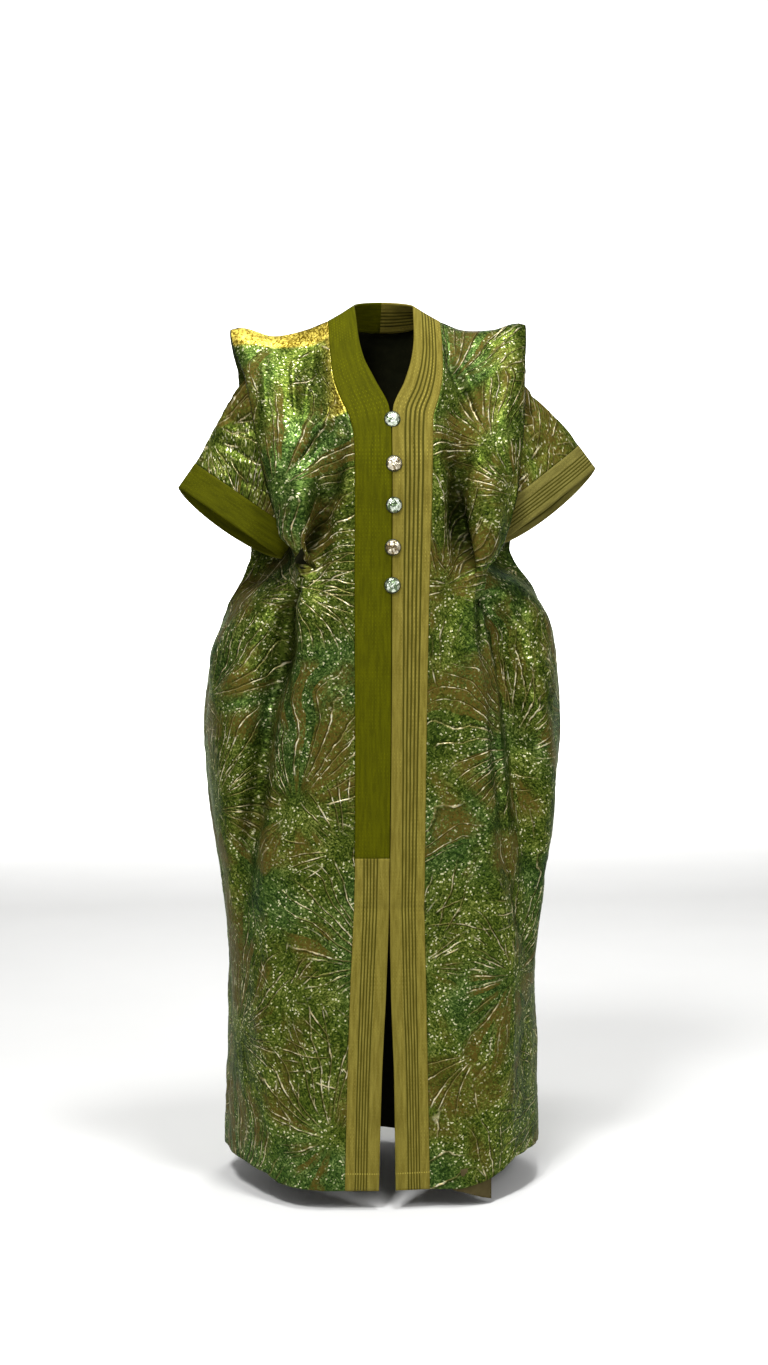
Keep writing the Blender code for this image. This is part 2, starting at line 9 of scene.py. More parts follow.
import bpy
import numpy as np
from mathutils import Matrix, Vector


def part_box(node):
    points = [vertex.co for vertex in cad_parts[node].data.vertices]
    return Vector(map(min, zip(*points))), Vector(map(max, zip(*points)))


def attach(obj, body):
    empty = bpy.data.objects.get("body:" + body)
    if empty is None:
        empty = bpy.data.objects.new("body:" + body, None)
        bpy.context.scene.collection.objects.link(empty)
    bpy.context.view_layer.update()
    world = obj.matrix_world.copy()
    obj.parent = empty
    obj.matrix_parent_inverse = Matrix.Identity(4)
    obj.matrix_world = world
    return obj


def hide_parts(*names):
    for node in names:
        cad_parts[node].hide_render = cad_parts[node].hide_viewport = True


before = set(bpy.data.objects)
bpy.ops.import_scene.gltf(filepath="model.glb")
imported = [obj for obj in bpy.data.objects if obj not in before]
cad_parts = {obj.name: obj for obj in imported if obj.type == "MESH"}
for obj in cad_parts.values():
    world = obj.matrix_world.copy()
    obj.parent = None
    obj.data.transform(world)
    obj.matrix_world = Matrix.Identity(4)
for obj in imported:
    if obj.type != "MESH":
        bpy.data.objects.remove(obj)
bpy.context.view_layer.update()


# The view: a standing robe seen from just to its right at chest height, from 3.8 m away.
# The camera keeps level, and its small shift puts the robe where the frame has it.


def placed(name, data):
    """A new object in the scene, at the origin."""
    made = bpy.data.objects.new(name, data)
    bpy.context.scene.collection.objects.link(made)
    return made


camera = placed("camera", bpy.data.cameras.new("camera"))
bpy.context.scene.camera = camera
camera_turn, camera_reach, camera_height = math.radians(-4.6), 3.8, -0.33
camera.location = (
    camera_reach * math.sin(camera_turn),
    -camera_reach * math.cos(camera_turn),
    camera_height,
)
pixel = 0.0017
picture_height, shoulder_row, shoulder_column, picture_width = 1365, 322, 384, 768
camera.rotation_euler = (math.pi / 2, 0, camera_turn)
camera.data.sensor_fit = "VERTICAL"
camera.data.sensor_height = 24
camera.data.lens = 24 * camera_reach / (pixel * picture_height)
level_row = shoulder_row - camera_height / pixel
camera.data.shift_y = (level_row - picture_height / 2) / picture_height
camera.data.shift_x = (picture_width / 2 - shoulder_column) / picture_height


# The room: a pale floor that sweeps up far away, and soft studio lamps, all of them outside
# the robe. Two broad lamps stand in front, one is above, one is behind and one lights the sweep.


class Value:
    """A socket that carries a number; arithmetic on it adds Math nodes."""

    def __init__(self, finish, socket):
        self.finish, self.socket = finish, socket

    def math(self, operation, *others, reflected=False):
        sockets = (*others, self) if reflected else (self, *others)
        return self.finish.node("ShaderNodeMath", {"operation": operation}, dict(enumerate(sockets)))[0]

    def __add__(self, other):
        return self.math("ADD", other)

    def __sub__(self, other):
        return self.math("SUBTRACT", other)

    def __rsub__(self, other):
        return self.math("SUBTRACT", other, reflected=True)

    def __mul__(self, other):
        return self.math("MULTIPLY", other)

    def __truediv__(self, other):
        return self.math("DIVIDE", other)

    def __rtruediv__(self, other):
        return self.math("DIVIDE", other, reflected=True)

    def __abs__(self):
        return self.math("ABSOLUTE")

    __radd__, __rmul__ = __add__, __mul__

    def ramp(self, low, high):
        """0 at low, 1 at high and a smooth step between; low may be the larger."""
        sockets = {"Value": self, "From Min": low, "From Max": high}
        return self.finish.node("ShaderNodeMapRange", {"interpolation_type": "SMOOTHSTEP"}, sockets)[0]


class Finish:
    """A material whose nodes are added one call at a time, and end in one shader."""

    def __init__(self, name, coat_roughness=0.1, specular=0.5, edge_tint=(1.0, 1.0, 1.0)):
        self.material = bpy.data.materials.new(name)
        self.material.use_nodes = True
        self.shader = self.material.node_tree.nodes["Principled BSDF"]
        self.shader.inputs["Coat Roughness"].default_value = coat_roughness
        self.shader.inputs["Specular IOR Level"].default_value = specular
        self.shader.inputs["Specular Tint"].default_value = (*edge_tint, 1.0)

    def plug(self, socket, value):
        if isinstance(value, Value):
            self.material.node_tree.links.new(value.socket, socket)
        elif isinstance(value, tuple) and socket.type == "RGBA":
            socket.default_value = (*value, 1.0)
        else:
            socket.default_value = value

    def node(self, kind, settings, sockets):
        """Adds a node, makes its settings, fills its sockets, and gives its outputs."""
        node = self.material.node_tree.nodes.new(kind)
        for name, setting in settings.items():
            setattr(node, name, setting)
        for name, value in sockets.items():
            self.plug(node.inputs[name], value)
        return [Value(self, socket) for socket in node.outputs]

    def mix(self, share, first, second):
        """The second colour where share is 1, and the first where it is 0."""
        sockets = {0: share, 6: first, 7: second}
        return self.node("ShaderNodeMix", {"data_type": "RGBA"}, sockets)[2]

    def noise(self, place, scale, detail=2.0, distortion=0.0, roughness=0.5):
        sockets = {
            "Vector": place, "Scale": scale, "Detail": detail,
            "Distortion": distortion, "Roughness": roughness,
        }
        return self.node("ShaderNodeTexNoise", {}, sockets)[0]

    def relief(self, height, depth, strength=1.0):
        """A Bump node: height runs from 0 to 1, and depth is in metres."""
        return self.node("ShaderNodeBump", {}, {"Height": height, "Distance": depth, "Strength": strength})[0]

    def end(self, **sockets):
        for name, value in sockets.items():
            self.plug(self.shader.inputs[name.replace("_", " ").title()], value)
        return self.material


# The floor is level near the robe; past 9 m its height rises with the square of the distance.
floor_height, floor_flat, floor_rise = -1.447, 9.0, 0.06
floor_x, floor_y = np.meshgrid(np.linspace(-20, 20, 81), np.linspace(-20, 20, 81))
floor_z = floor_height + floor_rise * np.maximum(0, np.hypot(floor_x, floor_y) - floor_flat) ** 2
floor_corner = np.arange(80)[:, None] * 81 + np.arange(80)
floor_quads = np.stack([floor_corner, floor_corner + 1, floor_corner + 82, floor_corner + 81], axis=2)
floor_mesh = bpy.data.meshes.new("floor")
floor_points = np.stack([floor_x, floor_y, floor_z], axis=2)
floor_mesh.from_pydata(floor_points.reshape(-1, 3).tolist(), [], floor_quads.reshape(-1, 4).tolist())
floor_mesh.polygons.foreach_set("use_smooth", np.ones(len(floor_mesh.polygons), bool))
floor = placed("floor", floor_mesh)
floor_finish = Finish("pale_floor", specular=0.1)
floor_place = floor_finish.node("ShaderNodeTexCoord", {}, {})[3]
floor_tone = floor_finish.noise(floor_place, 3.0)
floor_mesh.materials.append(
    floor_finish.end(
        base_color=floor_finish.mix(floor_tone, (0.84, 0.84, 0.83), (0.88, 0.88, 0.87)),
        roughness=0.85 + 0.1 * floor_tone,
    )
)

room = bpy.data.worlds.new("room")
room.use_nodes = True
room.node_tree.nodes["Background"].inputs["Color"].default_value = (1.0, 1.0, 1.0, 1.0)
room.node_tree.nodes["Background"].inputs["Strength"].default_value = 0.31
bpy.context.scene.world = room
bpy.context.scene.view_settings.view_transform = "Standard"

for lamp_name, lamp_place, lamp_aim, lamp_size, lamp_power in (
    ("key", (-1.1, -2.3, 2.6), (0, 0, -0.35), 0.8, 125),
    ("fill", (1.9, -2.7, 1.2), (0, 0, -0.7), 1.0, 38),
    ("top", (0.2, -0.8, 2.2), (0, 0, -0.2), 0.45, 46),
    ("back", (0.8, 2.6, 2.0), (0, 0, -0.6), 1.4, 45),
    ("sweep", (0, 7, 5.5), (0, 15, 0.5), 5.0, 2600),
):
    lamp = placed(lamp_name, bpy.data.lights.new(lamp_name, "AREA"))
    lamp.data.energy, lamp.data.size = lamp_power, lamp_size
    lamp.location = lamp_place
    lamp.rotation_euler = (Vector(lamp_aim) - lamp.location).to_track_quat("-Z", "Y").to_euler()


# The body: two fronts and a back cut in jacquard brocade, green metal thread on brown, sewn
# at the shoulders and sides. The shoulders stand past the arms as two wings, the sides bell
# out below the armholes, and the cloth is stiff enough to hold its folds.

CLOTH = 2.0
ARMHOLE_FOOT = 335
SPLICE_HEIGHT = 886
HEM_HEIGHT = 1415
PLEAT_GAP = 12
UNDER_PLEAT = 1.5
FOLD_SHOULDER = 6
FOLD_HALF = 5
SIDES = {
    "right": {
        "sign": -1, "dip_fold": -14, "dip_wing": -26, "dip_tip": -27,
        "cuff_out": (347, -8, -282), "cuff_in": (177, -40, -400), "back_drop": 17,
        "tip_out": 12, "tip_fade": 110, "hem_out": 0, "hem_rise": 1.2, "lobe_rise": 0,
        "sleeve_leave": (1.1, 0, -0.3),
    },
    "left": {
        "sign": 1, "dip_fold": -13, "dip_wing": -13, "dip_tip": -15.5,
        "cuff_out": (361, -8, -249), "cuff_in": (192, -42, -375), "back_drop": 22,
        "tip_out": -6, "tip_fade": 300, "hem_out": 3, "hem_rise": 1.7, "lobe_rise": 34,
        "sleeve_leave": (0.2, 0, -0.9),
    },
}

BAND_COLUMNS = ("depth", "right_out", "right_in", "left_out", "left_in", "out_y", "in_y", "rise")
BAND_ROWS = (
    (0, 95, 50, 95, 50, 0, 8, 27),
    (12, 95, 49.5, 95, 49.5, -14, -4, 30),
    (30, 95, 48.5, 95, 48.5, -30, -20, 32),
    (64, 94, 46.5, 94, 46.5, -56, -48, 34),
    (98, 91, 40, 91, 40, -80, -77, 33),
    (132, 81, 22, 83, 26, -101, -104, 26),
    (166, 67, 1, 72, 5, -120, -123, 13),
    (200, 60, -1.6, 70, 2.8, -131, -133, 4),
    (234, 59, -1.4, 69, 2.6, -137, -141, 0),
    (300, 59, -1, 67, 2.2, -143, -147, 0),
    (430, 60, -0.2, 63, 1.4, -147, -151, 0),
    (680, 60, 1.8, 57, -0.6, -158, -162, 0),
    (910, 61, 5, 53, -3.8, -168, -172, 0),
    (960, 62.5, 5.8, 52, -4.6, -171, -175, 0),
    (1093, 69, 11, 54, -3.6, -179, -183, 0),
    (1243, 74.5, 19, 56, 1, -188, -192, 0),
    (1415, 79, 24.5, 58, 2.5, -200, -204, 0),
)
FRONT_COLUMNS = (
    "depth", "hollow_x", "hollow_y", "wing_x", "wing_y", "edge_x", "edge_y",
    "arm_x", "arm_y", "lobe_x", "lobe_y", "side_x", "side_y",
)
FRONT_ROWS = (
    (0, 130, 0, 185, 0, 248, 0, 182, -1.5, 182, -0.9, 182, 0),
    (12, 122, -14, 183, -12, 247.5, -8, 181, -5, 181, -3, 181, 0),
    (30, 112, -31, 180, -22, 246, -14, 179, -10, 178, -4, 177, 1),
    (95, 114, -61, 170, -55, 240, -38, 168, -33, 166, -14, 165, 6),
    (150, 126, -80, 164, -78, 234, -56, 159, -48, 156, -19, 154, 10),
    (200, 121, -98, 162, -98, 228, -71, 152, -55, 149, -21, 148, 12),
    (260, 114, -106, 162, -115, 221, -86, 144, -59, 142, -21, 142, 13),
    (320, 111, -110, 158, -128, 210, -97, 137, -60, 137, -21, 142, 15),
    (385, 119, -114, 148, -132, 184, -106, 142, -60, 146, -23, 154, 15),
    (430, 131, -120, 143, -126, 158, -110, 156, -60, 168, -28, 190, 12),
    (480, 126, -130, 143, -129, 160, -109, 168, -58, 202, -38, 240, 3),
    (560, 114, -145, 147, -141, 170, -110, 180, -58, 234, -60, 285, -4),
    (680, 109, -157, 154, -151, 182, -119, 196, -74, 252, -92, 301, 4),
    (800, 110, -163, 161, -157, 193, -131, 211, -90, 254, -96, 293, 8),
    (950, 110, -170, 165, -163, 204, -140, 233, -90, 255, -72, 272, 10),
    (1120, 110, -179, 163, -169, 200, -145, 225, -104, 244, -64, 259, 12),
    (1415, 112, -199, 161, -181, 194, -149, 221, -108, 245, -62, 264, 14),
)
BACK_COLUMNS = (
    "depth", "arm_x", "arm_y", "edge_x", "edge_y", "wing_x", "wing_y",
    "root_x", "root_y", "neck_x", "neck_y", "centre_y",
)
BACK_ROWS = (
    (0, 182, 1.5, 248, 0, 185, 0, 130, 0, 95, 0, 92),
    (12, 182, 5, 248, 8, 184, 13, 131, 15, 94, 22, 100),
    (30, 180, 10, 247, 14, 181, 24, 129, 30, 92, 42, 106),
    (95, 172, 28, 244, 34, 174, 56, 125, 68, 88, 82, 117),
    (150, 166, 40, 241, 49, 171, 77, 124, 88, 87, 99, 121),
    (200, 163, 46, 239, 59, 171, 88, 124, 99, 86, 108, 123),
    (320, 157, 52, 235, 70, 175, 102, 128, 110, 88, 115, 119),
    (385, 168, 50, 223, 68, 177, 106, 130, 113, 90, 117, 118),
    (430, 206, 45, 235, 63, 186, 108, 134, 116, 91, 119, 120),
    (480, 251, 36, 262, 62, 199, 110, 140, 120, 95, 123, 123),
    (560, 291, 34, 285, 66, 213, 116, 150, 127, 101, 129, 129),
    (680, 304, 42, 292, 77, 222, 125, 158, 138, 106, 141, 140),
    (800, 296, 46, 284, 82, 218, 132, 157, 147, 106, 151, 151),
    (950, 275, 48, 264, 85, 206, 136, 150, 156, 103, 162, 164),
    (1120, 261, 50, 250, 87, 195, 141, 145, 165, 100, 173, 179),
    (1415, 268, 52, 256, 92, 199, 155, 149, 185, 102, 195, 206),
)

# How many steps of the cloth grid lie between one station of a section and the next
FRONT_STEPS = (15, 15, 12, 4, 4, 14, 14, 14)
BACK_STEPS = (14, 14, 3, 3, 9, 9, 9, 14)
ROW_STEP = 4.2
HEM_LIFT = (0, 0, 2, 5, 7, 9, 12, 15, 15, 14, 12, 10, 8, 0, -4, -8, -10)
HEM_OUT = (0, 0, 0, 0.3, 0.5, 0.7, 0.9, 1, 1, 1, 0.8, 0.6, 0.5, 0.3, 0, 0, 0)
HEM_LIFT_FROM = 1000
LOBE_FROM = 375
LOBE_TO = 720
SHOULDER_FADE = 160
FOLD_FADE = 40
NECK_BACK_DIP = -12
NECK_BACK_Y = 56
NECK_BACK_RISE = 38
NECK_FADE = 240
BACK_FOLD_DEPTH = 8
BACK_FOLD_PITCH = 118
BACK_FOLD_FROM = 250
BACK_FOLD_FULL = 900
EDGE_FRONT = sum(FRONT_STEPS[:4])
ARM_FRONT = sum(FRONT_STEPS[:6])
LOBE = sum(FRONT_STEPS[:7])
SIDE = sum(FRONT_STEPS)
ARM_BACK = SIDE + BACK_STEPS[0]
EDGE_BACK = SIDE + sum(BACK_STEPS[:3])
NECK = SIDE + sum(BACK_STEPS[:7])


def unit(vectors):
    """Vectors scaled to length 1 along the last axis."""
    return vectors / np.maximum(np.linalg.norm(vectors, axis=-1, keepdims=True), 1e-12)


def smoothstep(value):
    value = np.clip(value, 0.0, 1.0)
    return value * value * (3 - 2 * value)


def row_depths():
    """Depths below the neck point, about ROW_STEP apart, that meet the armhole's foot and the splice."""
    ends = (0, ARMHOLE_FOOT, SPLICE_HEIGHT, HEM_HEIGHT)
    zones = [np.linspace(a, b, round((b - a) / ROW_STEP) + 1)[1:] for a, b in zip(ends, ends[1:])]
    return np.concatenate([[0.0], *zones])


def hermite(start, end, slope_in, slope_out, share):
    """A cubic from start to end that leaves with slope_in and arrives with slope_out."""
    s2, s3 = share**2, share**3
    return (
        (2 * s3 - 3 * s2 + 1) * start
        + (s3 - 2 * s2 + share) * slope_in
        + (3 * s2 - 2 * s3) * end
        + (s3 - s2) * slope_out
    )


def table(columns, rows, depths):
    """Each column of a table at the given depths, on a cubic that never overshoots a row."""
    data = np.array(rows, float)
    knots = data[:, 0]
    span = np.diff(knots)
    span_at = np.clip(np.searchsorted(knots, depths, side="right") - 1, 0, len(span) - 1)
    share = (depths - knots[span_at]) / span[span_at]
    found = {}
    for name, values in zip(columns[1:], data[:, 1:].T):
        secant = np.diff(values) / span
        both = secant[:-1] * secant[1:]
        mean = 2 * both / np.where(both > 0, secant[:-1] + secant[1:], 1)
        slope = np.concatenate([secant[:1], np.where(both > 0, mean, 0), secant[-1:]])
        leave, arrive = slope[span_at] * span[span_at], slope[span_at + 1] * span[span_at]
        found[name] = hermite(values[span_at], values[span_at + 1], leave, arrive, share)
    return found


def through(stations, steps):
    """A smooth curve through the stations of each row; the first and last only steer it."""
    chord = np.linalg.norm(np.diff(stations, axis=1), axis=2, keepdims=True)
    secant = np.diff(stations, axis=1) / chord
    weight = chord[:, 1:] / (chord[:, :-1] + chord[:, 1:])
    tangent = secant[:, :-1] * weight + secant[:, 1:] * (1 - weight)
    inner, reach = stations[:, 1:-1], chord[:, 1:-1]
    columns = []
    for k, count in enumerate(steps):
        for share in np.arange(count) / count:
            leave, arrive = tangent[:, k] * reach[:, k], tangent[:, k + 1] * reach[:, k]
            columns.append(hermite(inner[:, k], inner[:, k + 1], leave, arrive, share))
    columns.append(inner[:, -1])
    return np.stack(columns, axis=1)


def folded_edge(before, edge, after, lift):
    """Three stations round a folded edge: one short of it, the edge, and one past it.

    Where the cloth doubles back, the outer two are pushed apart, so that the fold is round.
    """
    towards, away = unit(before - edge), unit(after - edge)
    doubled = np.clip((towards * away).sum(axis=-1, keepdims=True), 0, 1)
    across = unit(before - after)
    across = unit(across - (across * unit(towards + away)).sum(axis=-1, keepdims=True) * unit(towards + away))
    spread = FOLD_HALF * doubled * across
    return (
        edge + FOLD_SHOULDER * towards + spread + lift,
        edge + lift,
        edge + FOLD_SHOULDER * away - spread - lift,
    )


def band_edges(side, depths):
    """The outer and inner edge of a front band, one point a row, as if it were the +X one."""
    data = table(BAND_COLUMNS, BAND_ROWS, depths)
    hand = "left" if side["sign"] > 0 else "right"
    outer = np.stack([data[hand + "_out"], data["out_y"], -depths], axis=1)
    inner = np.stack([data[hand + "_in"], data["in_y"], data["rise"] - depths], axis=1)
    return outer, inner


def half_body(side, depths):
    """The cloth of one half as a grid, rows by columns, from the front band to the centre back.

    The columns between the two arm hollows exist only below the armhole; above it they are
    a guide that the armhole is cut from.
    """
    lobe = np.clip((depths - LOBE_FROM) / (LOBE_TO - LOBE_FROM), 0, 1)
    raised = depths + side["lobe_rise"] * np.sin(math.pi * lobe**0.7) ** 2
    front = table(FRONT_COLUMNS, FRONT_ROWS, depths)
    front_lobe = table(FRONT_COLUMNS, FRONT_ROWS, raised)
    back = table(BACK_COLUMNS, BACK_ROWS, raised)
    for name in ("lobe_x", "lobe_y", "side_x", "side_y"):
        front[name] = front_lobe[name]
    fade = np.clip(1 - depths / SHOULDER_FADE, 0, 1) ** 2
    hem = smoothstep((depths - HEM_LIFT_FROM) / (HEM_HEIGHT - HEM_LIFT_FROM))
    under_wing = side["dip_wing"] - PLEAT_GAP

    def station(data, name, dip):
        x = data[name + "_x"] if name != "centre" else 0 * depths
        return np.stack([x, data[name + "_y"], dip * fade - depths], axis=1)

    outer, inner = band_edges(side, depths)
    lift = np.zeros((len(depths), 3))
    lift[:, 2] = PLEAT_GAP / 2 * np.clip(1 - depths / FOLD_FADE, 0, 1)
    wing, arm = station(front, "wing", side["dip_wing"]), station(front, "arm", under_wing)
    edge = station(front, "edge", side["dip_tip"])
    tip = side["tip_out"] * smoothstep(1 - depths / side["tip_fade"])
    edge[:, 0] += tip
    back_wing, back_arm = station(back, "wing", side["dip_wing"]), station(back, "arm", under_wing)
    back_edge = station(back, "edge", side["dip_tip"])
    back_edge[:, 0] += tip
    centre = station(back, "centre", NECK_BACK_DIP)
    neck = station(back, "neck", 0)
    stations = [
        outer,
        station(front, "hollow", side["dip_fold"]),
        wing,
        *folded_edge(wing, edge, arm, lift),
        arm,
        station(front, "lobe", under_wing),
        station(front, "side", under_wing),
        back_arm,
        *reversed(folded_edge(back_wing, back_edge, back_arm, lift)),
        back_wing,
        station(back, "root", side["dip_fold"]),
        neck,
        centre,
    ]
    for point, rise, out in zip(stations, HEM_LIFT, HEM_OUT):
        point[:, 2] += (side["hem_rise"] if rise > 0 else 1) * rise * hem
        point[:, 0] += out * side["hem_out"] * hem
    beyond = neck * (-1, 1, 1)
    grid = through(np.stack([inner, *stations, beyond], axis=1), FRONT_STEPS + BACK_STEPS)
    turn = np.linspace(0, math.pi / 2, BACK_STEPS[-1] + 1)
    round_neck = np.stack(
        [
            neck[:, :1] * np.cos(turn),
            neck[:, 1:2] + (centre[:, 1:2] - neck[:, 1:2]) * np.sin(turn),
            neck[:, 2:] + (centre[:, 2:] - neck[:, 2:]) * np.sin(turn) ** 2,
        ],
        axis=2,
    )
    share = smoothstep(1 - depths / NECK_FADE)[:, None, None]
    grid[:, NECK:] += share * (round_neck - grid[:, NECK:])
    grid[0, :NECK, 1] = 0
    grid[0, EDGE_FRONT : ARM_FRONT + 1, 1] = np.linspace(0, -UNDER_PLEAT, ARM_FRONT - EDGE_FRONT + 1)
    grid[0, ARM_BACK : EDGE_BACK + 1, 1] = np.linspace(UNDER_PLEAT, 0, EDGE_BACK - ARM_BACK + 1)
    return back_folds(grid, depths)


def back_folds(grid, depths):
    """Soft folds pushed into the back, deepest at the hem and gone at the side seam."""
    x, y = np.abs(grid[:, :, 0]), grid[:, :, 1]
    fall = smoothstep((depths - BACK_FOLD_FROM) / (BACK_FOLD_FULL - BACK_FOLD_FROM))
    share = smoothstep((y - 60) / 60)
    grid[:, :, 1] += BACK_FOLD_DEPTH * fall[:, None] * share * np.cos(2 * math.pi * x / BACK_FOLD_PITCH)
    return grid


def normals(grid, closed=False):
    """Outward unit normals: the cross product of the grid's steps down and round the body."""
    down = np.gradient(grid, axis=0)
    if closed:
        along = np.roll(grid, -1, axis=1) - np.roll(grid, 1, axis=1)
    else:
        along = np.gradient(grid, axis=1)
    return unit(np.cross(down, along))


def spread(grid, axis):
    """Distance along the cloth from the first row or column, in millimetres."""
    steps = np.linalg.norm(np.diff(grid, axis=axis), axis=2)
    start = np.zeros_like(steps[:1] if axis == 0 else steps[:, :1])
    return np.concatenate([start, np.cumsum(steps, axis=axis)], axis=axis)


def waves(across, down, pitch, seed):
    """Smooth random hills about 1 high: a lattice of seeded heights, pitch apart, joined by smooth steps."""
    rng = np.random.default_rng(seed)
    lattice = rng.uniform(-1, 1, (97, 97))
    u, v = across / pitch, down / pitch
    iu, iv = np.floor(u).astype(int), np.floor(v).astype(int)
    su, sv = smoothstep(u - iu), smoothstep(v - iv)

    def at(a, b):
        return lattice[a % 97, b % 97]

    near = at(iu, iv) * (1 - su) + at(iu + 1, iv) * su
    far = at(iu, iv + 1) * (1 - su) + at(iu + 1, iv + 1) * su
    return near * (1 - sv) + far * sv


def creased(x, z, rows):
    """The push of the listed creases at each point (x, z), in millimetres.

    A crease bends through three places as a quadratic curve. Its push is height times a bell
    of the distance across over its width, times a fade to nothing at its two ends.
    """
    push = np.zeros_like(x)
    share = np.linspace(0, 1, 25)
    for x0, z0, x1, z1, x2, z2, width, height in rows:
        cx = (1 - share) ** 2 * x0 + 2 * share * (1 - share) * x1 + share**2 * x2
        cz = (1 - share) ** 2 * z0 + 2 * share * (1 - share) * z1 + share**2 * z2
        near = (
            (x > cx.min() - 3 * width) & (x < cx.max() + 3 * width)
            & (z > cz.min() - 3 * width) & (z < cz.max() + 3 * width)
        )
        gap = np.hypot(x[near][:, None] - cx, z[near][:, None] - cz)
        nearest = gap.argmin(axis=1)
        fade = np.sin(math.pi * share[nearest])
        push[near] += height * fade * np.exp(-((gap.min(axis=1) / width) ** 2))
    return push


def cell_corners(i, j, k, columns):
    """The numbers of the four points round each cell of a grid, from row i and columns j and k."""
    return np.stack([i * columns + j, (i + 1) * columns + j, (i + 1) * columns + k, i * columns + k], axis=-1)


def sheet_mesh(name, outer, inner, place, cells, materials, sign=1, closed=False, fold=None):
    """A closed sheet between two grids; the first material is its face and the second its back.

    place holds each grid point's position on the flat cloth in metres, and becomes the UV map.
    fold is how much painted shade each point gets for lying in a fold, from 0 to 1, and becomes
    an attribute. Below 0 it says how much painted gold light falls there.
    """
    rows, columns = outer.shape[:2]
    i, j = np.nonzero(cells)
    k = (j + 1) % columns if closed else j + 1
    quad, spot = cell_corners(i, j, k, columns), cell_corners(i, j, j + 1, place.shape[1])
    lift = rows * columns
    edges, spots = (
        four[:, [0, 1, 2, 3, 1, 2, 3, 0]].reshape(-1, 2, 4).transpose(0, 2, 1).reshape(-1, 2)
        for four in (quad, spot)
    )
    key = edges[:, 0] * lift + edges[:, 1]
    alone = ~np.isin(key, edges[:, 1] * lift + edges[:, 0])
    edges, spots = edges[alone], spots[alone]
    rim = np.stack([edges[:, 1], edges[:, 0], edges[:, 0] + lift, edges[:, 1] + lift], axis=1)
    faces = np.concatenate([quad, quad[:, ::-1] + lift, rim])
    flats = np.concatenate([spot, spot[:, ::-1], spots[:, [1, 0, 0, 1]]])
    slots = np.repeat([0, 1, 1], [len(quad), len(quad), len(rim)])
    if sign < 0:
        faces, flats = faces[:, ::-1], flats[:, ::-1]
    points = np.concatenate([outer.reshape(-1, 3), inner.reshape(-1, 3)]) * (sign, 1, 1) * 0.001
    used, faces = np.unique(faces, return_inverse=True)
    mesh = bpy.data.meshes.new(name)
    mesh.vertices.add(len(used))
    mesh.vertices.foreach_set("co", points[used].ravel())
    mesh.loops.add(faces.size)
    mesh.loops.foreach_set("vertex_index", faces.ravel())
    mesh.polygons.add(len(flats))
    mesh.polygons.foreach_set("loop_start", np.arange(0, faces.size, 4))
    mesh.polygons.foreach_set("material_index", slots)
    mesh.polygons.foreach_set("use_smooth", np.ones(len(flats), bool))
    mesh.update(calc_edges=True)
    layer = mesh.uv_layers.new(name="cloth")
    layer.data.foreach_set("uv", place.reshape(-1, 2)[flats.ravel()].ravel())
    if fold is not None:
        depth = mesh.attributes.new("fold", "FLOAT", "POINT")
        depth.data.foreach_set("value", np.tile(fold.ravel(), 2)[used].astype(np.float32))
    for material in materials:
        mesh.materials.append(material)
    return placed(name, mesh)


